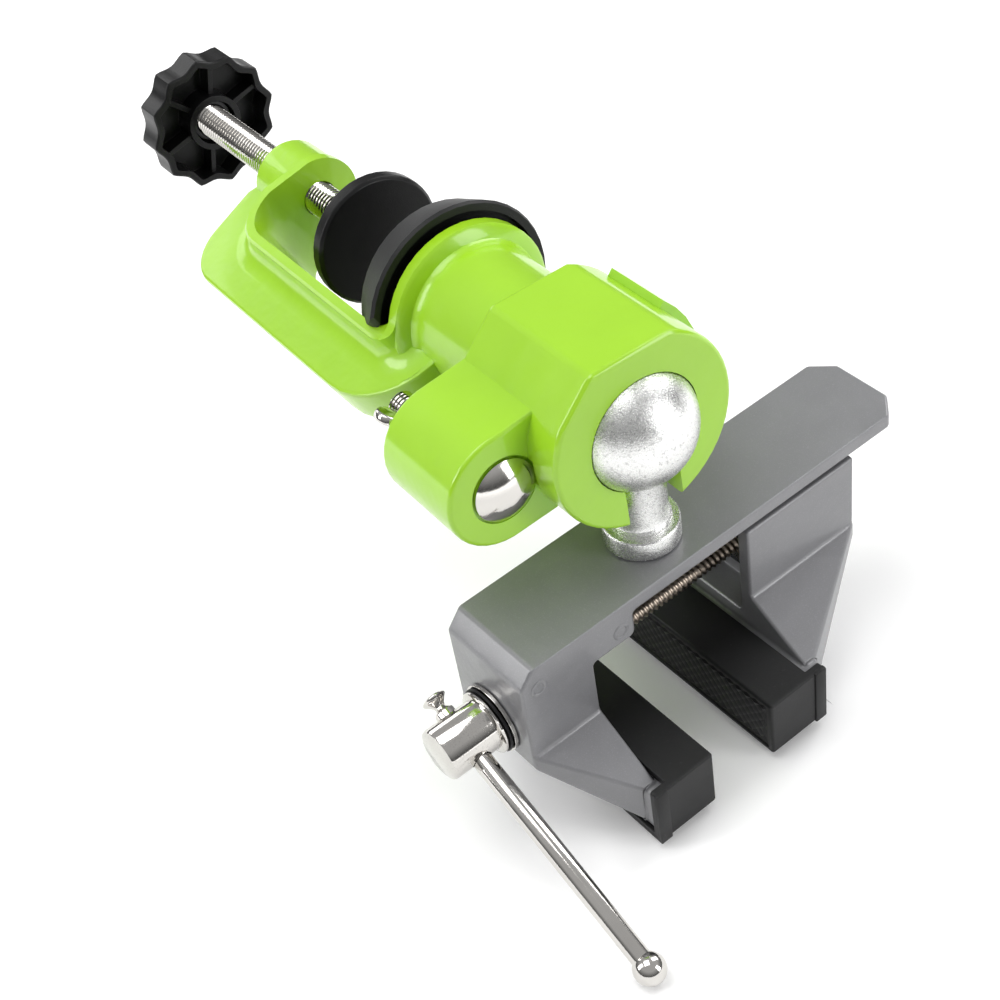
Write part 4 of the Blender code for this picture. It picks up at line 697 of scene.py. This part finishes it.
def threaded(name, core, crest, pitch, low, high, place, steps=32):
    """A rod with a right-hand thread, cut square at both ends."""
    # One pitch of the thread, as (radius, share of the pitch)
    form = ((core, 0.0), (core, 0.10), (crest, 0.42), (crest, 0.58), (core, 0.90), (core, 1.0))
    turns = math.ceil((high - low) / pitch) + 2
    bm = bmesh.new()
    first = [(radius, low + pitch * (part - 1)) for radius, part in form]
    bmesh.ops.spin(bm, geom=outlined(bm, first), cent=(0, 0, 0), axis=(0, 0, 1),
                   angle=TURN * turns, steps=steps * turns, dvec=(0, 0, pitch / steps))
    bmesh.ops.remove_doubles(bm, verts=bm.verts, dist=WELD)
    for height, sign in ((low, -1), (high, 1)):
        bmesh.ops.bisect_plane(bm, geom=bm.verts[:] + bm.edges[:] + bm.faces[:], dist=WELD / 10,
                               plane_co=(0, 0, height), plane_no=(0, 0, sign), clear_outer=True)
        rim = [item for item in bm.edges if item.is_boundary
               and all(abs(vert.co.z - height) < WELD for vert in item.verts)]
        bmesh.ops.holes_fill(bm, edges=rim, sides=0)
    return to_mesh(bm, name, place)


# Pieces

class VISE_OT_clamp_casting(bpy.types.Operator):
    """Lime green C casting with softened edges"""
    bl_idname = "vise.clamp_casting"
    bl_label = "Clamp casting"

    def execute(self, context):
        joined = (boolean_step(flange_corner()),)
        mesh = cad_copy("clamp_frame", settings("clamp").edge, 3, steps=joined)
        show("clamp_casting", mesh, "lime", "clamp", ("clamp_frame",))
        return {"FINISHED"}


def flange_corner():
    """Plate that joins the flange's rim to the band's edges in hollow curves."""
    inside = 9.0 * MM
    into_band = 1.4 * MM
    spine = Vector((math.cos(SPINE_ROLL), 0, math.sin(SPINE_ROLL)))
    axis = Vector((0, 1, 0))
    across = axis.cross(spine)
    rise = BAND_HALF + HOLLOW
    reach = math.sqrt((FLANGE_RIM + HOLLOW) ** 2 - rise ** 2)
    start = math.pi + math.atan2(rise, reach)
    curve = arc((reach, rise), HOLLOW, start, 3 * QUARTER, 10)
    upper = [(inside, curve[0][1])] + curve + [(reach + into_band, BAND_HALF)]
    outline = upper + [(x, -y) for x, y in reversed(upper)]
    plate = slab("flange_corner", outline, FLANGE_LOW, FLANGE_HIGH,
                 basis(spine, across, axis, BALL))

    # What lies outside the casting's own bend, from flange to band, is cut off
    beyond = 90.0 * MM
    half = 30.0 * MM
    bend = arc((FLANGE_LOW + BAND_BEND, BAND_OUTSIDE - BAND_BEND), BAND_BEND, math.pi, QUARTER, 8)
    room = [(FLANGE_LOW, -half)] + bend + [(beyond, BAND_OUTSIDE), (beyond, -half)]
    room = slab("corner_clip", room, -half, half, basis(axis, spine, across, BALL))
    return applied(plate, boolean_step(room, "INTERSECT"))


class VISE_OT_socket(bpy.types.Operator):
    """Lime green ball housing with softened edges"""
    bl_idname = "vise.socket"
    bl_label = "Ball socket"

    def execute(self, context):
        mesh = cad_copy("socket_housing", settings("clamp").edge, 3)
        show("socket_casting", mesh, "lime", "socket", ("socket_housing",))
        return {"FINISHED"}


class VISE_OT_clamp_screw(bpy.types.Operator):
    """Threaded clamp screw with its tip in the pressure pad"""
    bl_idname = "vise.clamp_screw"
    bl_label = "Clamp screw"

    def execute(self, context):
        sizes = settings("clamp")
        crest = sizes.screw_radius
        core = crest - sizes.screw_pitch * METRIC_DEPTH
        low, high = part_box("clamp_screw")
        tip = low.y - BALL.y
        start = tip + 6.6 * MM
        rod = threaded("clamp_thread", core, crest, sizes.screw_pitch, start, high.y - BALL.y,
                       clamp_frame_axes(), 36)
        neck = crest * 0.72
        nose = crest * 1.12
        chamfer = 0.4 * MM
        nose_end = tip + 2.6 * MM
        neck_end = start + 0.3 * MM
        profile = ((0, tip), (nose - chamfer, tip), (nose, tip + chamfer),
                   (nose, nose_end - chamfer), (nose - chamfer, nose_end), (neck, nose_end),
                   (neck, neck_end), (0, neck_end))
        point = spun("clamp_nose", profile, 36, clamp_frame_axes())
        show("clamp_screw_rod", rod, "plating", "screw", ("clamp_screw",))
        show("clamp_screw_tip", point, "plating", "screw")
        return {"FINISHED"}


class VISE_OT_clamp_pads(bpy.types.Operator):
    """Rubber pad on the flange and the disc at the screw's end"""
    bl_idname = "vise.clamp_pads"
    bl_label = "Clamp pads"

    def execute(self, context):
        wider = about_clamp(Matrix.Diagonal((PAD_GROWTH, PAD_GROWTH, 1.0, 1.0)))
        show("fixed_pad_rubber", cad_copy("fixed_pad", PAD_EDGE, place=wider), "rubber", "clamp",
             ("fixed_pad",))
        show("pressure_disc", cad_copy("pressure_pad", DISC_EDGE), "plastic", "pad",
             ("pressure_pad",))
        return {"FINISHED"}


class VISE_OT_knob(bpy.types.Operator):
    """Lobed knob with ribs and a hub"""
    bl_idname = "vise.knob"
    bl_label = "Clamp knob"

    def execute(self, context):
        turned = about_clamp(Matrix.Rotation(HALF_LOBE, 4, "Z"))
        mesh = cad_copy("clamp_knob", KNOB_EDGE, place=turned)
        show("knob_moulding", mesh, "plastic", "screw", ("clamp_knob",))
        return {"FINISHED"}


class VISE_OT_lock(bpy.types.Operator):
    """Lock bolt with its thread and the wing nut"""
    bl_idname = "vise.lock"
    bl_label = "Lock bolt and wing nut"

    def execute(self, context):
        place = clamp_frame_axes(BALL + LUG)
        self.bolt(place)
        self.wing_nut(place)
        return {"FINISHED"}

    def bolt(self, place):
        """A domed head on a plain shank, and the thread behind it."""
        sizes = settings("clamp")
        crest = sizes.bolt_radius
        core = crest - sizes.bolt_pitch * METRIC_DEPTH
        overlap = 0.2 * MM
        low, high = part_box("lock_bolt")
        top = low.y - BALL.y
        curve = (DOME_RADIUS ** 2 + DOME_RISE ** 2) / (2 * DOME_RISE)
        reach = math.asin(DOME_RADIUS / curve)
        profile = arc((0, top + curve), curve, -QUARTER, reach - QUARTER, 14)
        profile[0] = (0, top)
        base = top + DOME_RISE + DOME_RIM
        end = base + SHANK
        profile += [(DOME_RADIUS, base), (crest, base), (crest, end), (0, end)]
        head = spun("bolt_head", profile, 64, place)
        show("lock_bolt_head", head, "plating", "socket", ("lock_bolt",))
        thread = threaded("bolt_thread", core, crest, sizes.bolt_pitch, end - overlap,
                          high.y - BALL.y, place)
        show("lock_bolt_thread", thread, "plating", "socket")

    def wing_nut(self, place):
        """A round hub with an ear on each side."""
        bore = settings("clamp").bolt_radius + 0.15 * MM
        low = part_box("wing_nut_washer")[1].y - BALL.y + 0.3 * MM
        high = low + 9.4 * MM
        profile = ((bore, low), (6.0 * MM, low), (6.4 * MM, low + 0.5 * MM),
                   (5.5 * MM, high - 0.9 * MM), (4.9 * MM, high), (bore + 0.4 * MM, high),
                   (bore, high - 0.4 * MM))
        hub = spun("wing_hub", profile, 48, place, closed=True)
        steps = []
        for angle in EAR_ANGLES:
            turn = place @ Matrix.Rotation(angle, 4, "Z") @ basis((1, 0, 0), (0, 0, 1), (0, -1, 0))
            ear = slab("wing", wing_outline(bore, low, high), -EAR_HALF, EAR_HALF, turn, EAR_EDGE)
            steps.append(boolean_step(ear))
        nut = applied(hub, *steps)
        show("wing_nut_forging", nut, "plating", "nut", ("wing_nut",))


def wing_outline(bore, low, high):
    """One ear of the wing nut: up the hub, round the ear and back, as (out, height)."""
    inner = bore + 0.3 * MM
    centre = (EAR_REACH - EAR_RADIUS, EAR_ROOT + 6.6 * MM)
    lobe = arc(centre, EAR_RADIUS, math.radians(-70), math.radians(145), 12)
    return ([(inner, low + 3.4 * MM), (6.6 * MM, EAR_ROOT)] + lobe
            + [(5.6 * MM, high - 0.6 * MM), (inner, high - 1.4 * MM)])


class VISE_OT_ball_stud(bpy.types.Operator):
    """Satin steel ball on its stem and stepped collar"""
    bl_idname = "vise.ball_stud"
    bl_label = "Ball stud"

    def execute(self, context):
        radius = settings("head").ball_radius
        stem = 7.3 * MM
        flare = 2.2 * MM
        fillet = 0.6 * MM
        past_fillet = math.radians(5)
        profile = in_metres(COLLAR)
        foot, foot_height = profile[-1]
        for index in range(1, 7):
            angle = QUARTER * index / 6
            profile.append((foot - (foot - stem) * math.sin(angle),
                            foot_height + flare * (1 - math.cos(angle))))
        join = -math.acos(stem / radius)
        height = BALL_TO_BEAM + radius * math.sin(join)
        profile += [(stem, height - 0.9 * MM), (stem + 0.15 * MM, height - 0.3 * MM),
                    (stem + fillet, height + 0.15 * MM)]
        profile += arc((0, BALL_TO_BEAM), radius, join + past_fillet, QUARTER, 56)
        profile[-1] = (0, BALL_TO_BEAM + radius)
        mesh = spun("ball_form", profile, 112, stud_axes())
        show("ball_and_stem", mesh, "satin", "stud", ("ball_stud",))
        return {"FINISHED"}


class VISE_OT_head_castings(bpy.types.Operator):
    """Gray vise body and movable jaw with softened edges"""
    bl_idname = "vise.head_castings"
    bl_label = "Vise castings"

    def execute(self, context):
        edge = settings("head").edge
        for node, name, body in (("vise_body", "vise_casting", "vise"),
                                 ("movable_jaw", "jaw_casting", "jaw")):
            mesh = cad_copy(node, edge, 3, clamp=False)
            show(name, mesh, "gray", body, (node,))
        return {"FINISHED"}


class VISE_OT_ejector_marks(bpy.types.Operator):
    """Round ejector marks on the fixed block's side"""
    bl_idname = "vise.ejector_marks"
    bl_label = "Ejector marks"

    def execute(self, context):
        for index, (along, up) in enumerate(MARKS):
            spot = Matrix.Translation((along * MM, MARK_SIDE * MM, up * MM))
            place = head_axes() @ spot @ Matrix.Rotation(QUARTER, 4, "X")
            mesh = spun("ejector_mark", in_metres(MARK_RING), 40, place, closed=True)
            show("ejector_mark_%d" % (index + 1), mesh, "gray", "vise")
        return {"FINISHED"}


class VISE_OT_jaw_covers(bpy.types.Operator):
    """Rubber jaw covers with a diamond tread and a band round the open side"""
    bl_idname = "vise.jaw_covers"
    bl_label = "Jaw covers"

    def execute(self, context):
        for node, body, face, toward in (("fixed_jaw_cover", "vise", FIXED_FACE, 1),
                                         ("movable_jaw_cover", "jaw", MOVABLE_FACE, -1)):
            inset = face - toward * TREAD_DEPTH
            pocket = boolean_step(tread_pocket(inset, toward), "DIFFERENCE")
            cover = cad_copy(node, COVER_EDGE, 3, steps=(pocket,))
            show(node + "_rubber", cover, "rubber", body, (node,))
            tread = tread_mesh(node + "_tread", inset, toward)
            show(node + "_tread", tread, "rubber", body)
            bead = bead_mesh(node + "_bead", face - toward * BEAD_NEAR, face - toward * BEAD_FAR)
            show(node + "_bead", bead, "rubber", body)
        return {"FINISHED"}


def tread_pocket(inset, toward):
    """What is cut from a cover's clamping face for its tread."""
    outline = [(-TREAD_HALF, TREAD_LOW), (TREAD_HALF, TREAD_LOW), (TREAD_HALF, TREAD_HIGH),
               (-TREAD_HALF, TREAD_HIGH)]
    outside = inset + toward * 3 * MM
    return slab("tread_pocket", outline, min(inset, outside), max(inset, outside), beam_axes())


def bead_mesh(name, near, far):
    """The raised band round a cover's open side, down both ends and under its bottom."""
    floor = BEAD_BOTTOM + BEAD_THICK
    outline = [(-BEAD_OUTER, BEAD_TOP), (-BEAD_OUTER, BEAD_BOTTOM), (BEAD_OUTER, BEAD_BOTTOM),
               (BEAD_OUTER, BEAD_TOP), (BEAD_INNER, BEAD_TOP), (BEAD_INNER, floor),
               (-BEAD_INNER, floor), (-BEAD_INNER, BEAD_TOP)]
    return slab(name, outline, min(near, far), max(near, far), beam_axes(), BEAD_EDGE, 2)


def tread_mesh(name, face, toward):
    """A sheet of low diamonds: a grid whose points rise by turns, cut along the valleys."""
    sizes = settings("head")
    step = sizes.diamond / 2
    columns = 2 * round(TREAD_HALF / step)
    rows = round((TREAD_HIGH - TREAD_LOW) / step)
    bm = bmesh.new()
    bmesh.ops.create_grid(bm, x_segments=columns, y_segments=rows, size=0.5)
    bmesh.ops.triangulate(bm, faces=bm.faces)
    for vert in bm.verts:
        column = round((vert.co.x + 0.5) * columns)
        row = round((vert.co.y + 0.5) * rows)
        if column in (0, columns) or row in (0, rows):
            rise = -TREAD_SKIRT
        elif (column + row) % 2 == 0:
            rise = sizes.diamond_rise
        else:
            rise = TREAD_VALLEY
        y = -TREAD_HALF + 2 * TREAD_HALF * column / columns
        z = TREAD_LOW + (TREAD_HIGH - TREAD_LOW) * row / rows
        vert.co = (face + toward * rise, y, z)

    # A diagonal that joins two peaks is turned to run along the valley
    off_valley = 0.2 * MM
    for item in [edge for edge in bm.edges if not edge.is_boundary]:
        first, last = item.verts
        diagonal = (abs(first.co.y - last.co.y) > step / 2
                    and abs(first.co.z - last.co.z) > step / 2)
        if diagonal and all(abs(vert.co.x - face) > off_valley for vert in item.verts):
            bmesh.ops.rotate_edges(bm, edges=[item])
    rim = [edge for edge in bm.edges if edge.is_boundary]
    bmesh.ops.holes_fill(bm, edges=rim, sides=0)
    return to_mesh(bm, name, head_axes())


class VISE_OT_lead_screw(bpy.types.Operator):
    """Lead screw with its thread and drilled head"""
    bl_idname = "vise.lead_screw"
    bl_label = "Lead screw"

    def execute(self, context):
        sizes = settings("head")
        place = lead_axes()
        crest = sizes.lead_radius
        core = crest - sizes.lead_pitch * LEAD_DEPTH
        rod = threaded("lead_thread", core, crest, sizes.lead_pitch, LEAD_LOW, LEAD_HIGH, place)
        show("lead_screw_thread", rod, "thread", "lead", ("lead_screw",))
        neck = crest * 0.9
        profile = in_metres(LEAD_HEAD)
        inner = profile[-1][1]
        neck_end = inner + 4 * MM
        profile += [(neck, inner), (neck, neck_end), (0, neck_end)]
        head = spun("lead_head", profile, 80, place)
        drill = spun("lever_drill", in_metres(LEVER_DRILL), 40, lever_axes())
        head = applied(head, boolean_step(drill, "DIFFERENCE"))
        show("lead_screw_head", head, "turned", "lead")
        return {"FINISHED"}


class VISE_OT_lever(bpy.types.Operator):
    """Sliding lever with a ball at one end and a swaged end"""
    bl_idname = "vise.lever"
    bl_label = "Lever"

    def execute(self, context):
        ball = 4.3 * MM
        centre = 71.9 * MM
        profile = in_metres(LEVER_TAIL)
        rod = profile[-1][0]
        profile += arc((0, centre), ball, -math.acos(rod / ball), QUARTER, 24)
        profile[-1] = (0, centre + ball)
        mesh = spun("lever_form", profile, 56, lever_axes())
        show("lever_rod", mesh, "plating", "lever", ("lever_bar",))
        return {"FINISHED"}


class VISE_OT_small_parts(bpy.types.Operator):
    """Finishes for the small parts that keep their packed form"""
    bl_idname = "vise.small_parts"
    bl_label = "Small parts"

    def execute(self, context):
        for node, (finish, body, slot) in SMALL_PARTS.items():
            show(node + "_part", cad_copy(node, SMALL_EDGE), finish, body, (node,))
        return {"FINISHED"}


# The stage

def add_light(name, place, size, power):
    lamp = bpy.data.lights.new(name, "AREA")
    lamp.shape = "RECTANGLE"
    lamp.size = size[0]
    lamp.size_y = size[1]
    lamp.energy = power
    item = bpy.data.objects.new(name, lamp)
    item.location = place
    toward = Vector(LIGHT_TARGET) - item.location
    item.rotation_euler = toward.to_track_quat("-Z", "Y").to_euler()
    bpy.context.scene.collection.objects.link(item)


class VISE_OT_stage(bpy.types.Operator):
    """Pale floor, soft lights and the camera"""
    bl_idname = "vise.stage"
    bl_label = "Stage"

    def execute(self, context):
        self.floor()
        self.world()
        levels = settings("stage")
        for name, place, size, watts, level in LIGHTS:
            add_light(name, place, size, watts * getattr(levels, level))
        self.camera()
        context.scene.view_settings.view_transform = "Standard"
        return {"FINISHED"}

    def floor(self):
        """A level surface under the object's lowest point that turns white away from it."""
        bm = bmesh.new()
        bmesh.ops.create_circle(bm, cap_ends=True, segments=64, radius=FLOOR_RADIUS)
        bmesh.ops.translate(bm, vec=(0, 0, CAD_BOX[0][2] - FLOOR_GAP), verts=bm.verts)
        mesh = bpy.data.meshes.new("floor")
        bm.to_mesh(mesh)
        bm.free()
        paper = Finish("floor_paper")
        rays = paper.node("ShaderNodeLightPath")
        seen = paper.value(rays, "Is Camera Ray") + paper.value(rays, "Is Glossy Ray")
        away = paper.node("ShaderNodeVectorMath", {"operation": "LENGTH"}, {0: paper.place})
        far = paper.ramp(paper.value(away, "Value"), FLOOR_WHITE_FROM, FLOOR_WHITE_AT)
        paper.surface(Base_Color=(0.93, 0.93, 0.93, 1.0), Roughness=0.9)
        paper.surface(Emission_Color=seen * (0.10 + far * 0.90), Emission_Strength=1.0)
        mesh.materials.append(paper.material)
        item = bpy.data.objects.new("floor", mesh)
        bpy.context.scene.collection.objects.link(item)

    def world(self):
        """Bands of gray that light the object, and plain white where the camera sees it."""
        world = bpy.data.worlds.new("studio")
        bpy.context.scene.world = world
        world.use_nodes = True
        world.node_tree.nodes.clear()
        sky = Nodes(world.node_tree)
        direction = sky.node("ShaderNodeTexCoord").outputs["Generated"]
        split = sky.node("ShaderNodeSeparateXYZ", None, {0: direction})
        height = sky.node("ShaderNodeMath", {"operation": "MULTIPLY_ADD"},
                          {0: split.outputs["Z"], 1: 0.5, 2: 0.5})
        bands = sky.node("ShaderNodeValToRGB", {"stops": SKY_BANDS}, {0: height.outputs[0]})
        soft = sky.node("ShaderNodeBackground", None,
                        {"Color": bands.outputs[0], "Strength": settings("stage").sky})
        white = sky.node("ShaderNodeBackground", None, {"Color": (1.0, 1.0, 1.0, 1.0)})
        rays = sky.node("ShaderNodeLightPath")
        mix = sky.node("ShaderNodeMixShader", None, {0: rays.outputs["Is Camera Ray"],
                                                     1: soft.outputs[0], 2: white.outputs[0]})
        sky.node("ShaderNodeOutputWorld", None, {"Surface": mix.outputs[0]})

    def camera(self):
        lens = bpy.data.cameras.new("camera")
        lens.sensor_width = CAMERA_SENSOR
        lens.lens = CAMERA_LENS
        item = bpy.data.objects.new("camera", lens)
        item.location = CAMERA_PLACE
        item.rotation_euler = tuple(math.radians(angle) for angle in CAMERA_DEGREES)
        bpy.context.scene.collection.objects.link(item)
        bpy.context.scene.camera = item


class VISE_PT_panel(bpy.types.Panel):
    """Lists the vise's sizes, colours and pieces"""
    bl_idname = "VISE_PT_panel"
    bl_label = "Swivel bench vise"
    bl_space_type = "VIEW_3D"
    bl_region_type = "UI"
    bl_category = "Bench vise"

    def draw(self, context):
        for group in GROUPS:
            box = self.layout.box()
            box.label(text=group.title())
            values = settings(group)
            for key in values.__annotations__:
                box.prop(values, key)
        for piece in PIECES:
            self.layout.operator(piece.bl_idname)


GROUPS = {
    "clamp": VISE_PG_clamp,
    "head": VISE_PG_head,
    "finish": VISE_PG_finish,
    "stage": VISE_PG_stage,
}
PIECES = (
    VISE_OT_clamp_casting,
    VISE_OT_socket,
    VISE_OT_clamp_screw,
    VISE_OT_clamp_pads,
    VISE_OT_knob,
    VISE_OT_lock,
    VISE_OT_ball_stud,
    VISE_OT_head_castings,
    VISE_OT_ejector_marks,
    VISE_OT_jaw_covers,
    VISE_OT_lead_screw,
    VISE_OT_lever,
    VISE_OT_small_parts,
    VISE_OT_stage,
)
CLASSES = tuple(GROUPS.values()) + PIECES + (VISE_PT_panel,)


def register():
    for item in CLASSES:
        bpy.utils.register_class(item)
    for group, item in GROUPS.items():
        setattr(bpy.types.Scene, "vise_" + group, PointerProperty(type=item))


def unregister():
    for group in GROUPS:
        delattr(bpy.types.Scene, "vise_" + group)
    for item in reversed(CLASSES):
        bpy.utils.unregister_class(item)


def main():
    register()
    bpy.ops.vise.clamp_casting()
    bpy.ops.vise.socket()
    bpy.ops.vise.clamp_screw()
    bpy.ops.vise.clamp_pads()
    bpy.ops.vise.knob()
    bpy.ops.vise.lock()
    bpy.ops.vise.ball_stud()
    bpy.ops.vise.head_castings()
    bpy.ops.vise.ejector_marks()
    bpy.ops.vise.jaw_covers()
    bpy.ops.vise.lead_screw()
    bpy.ops.vise.lever()
    bpy.ops.vise.small_parts()
    bpy.ops.vise.stage()


if __name__ == "__main__":
    main()
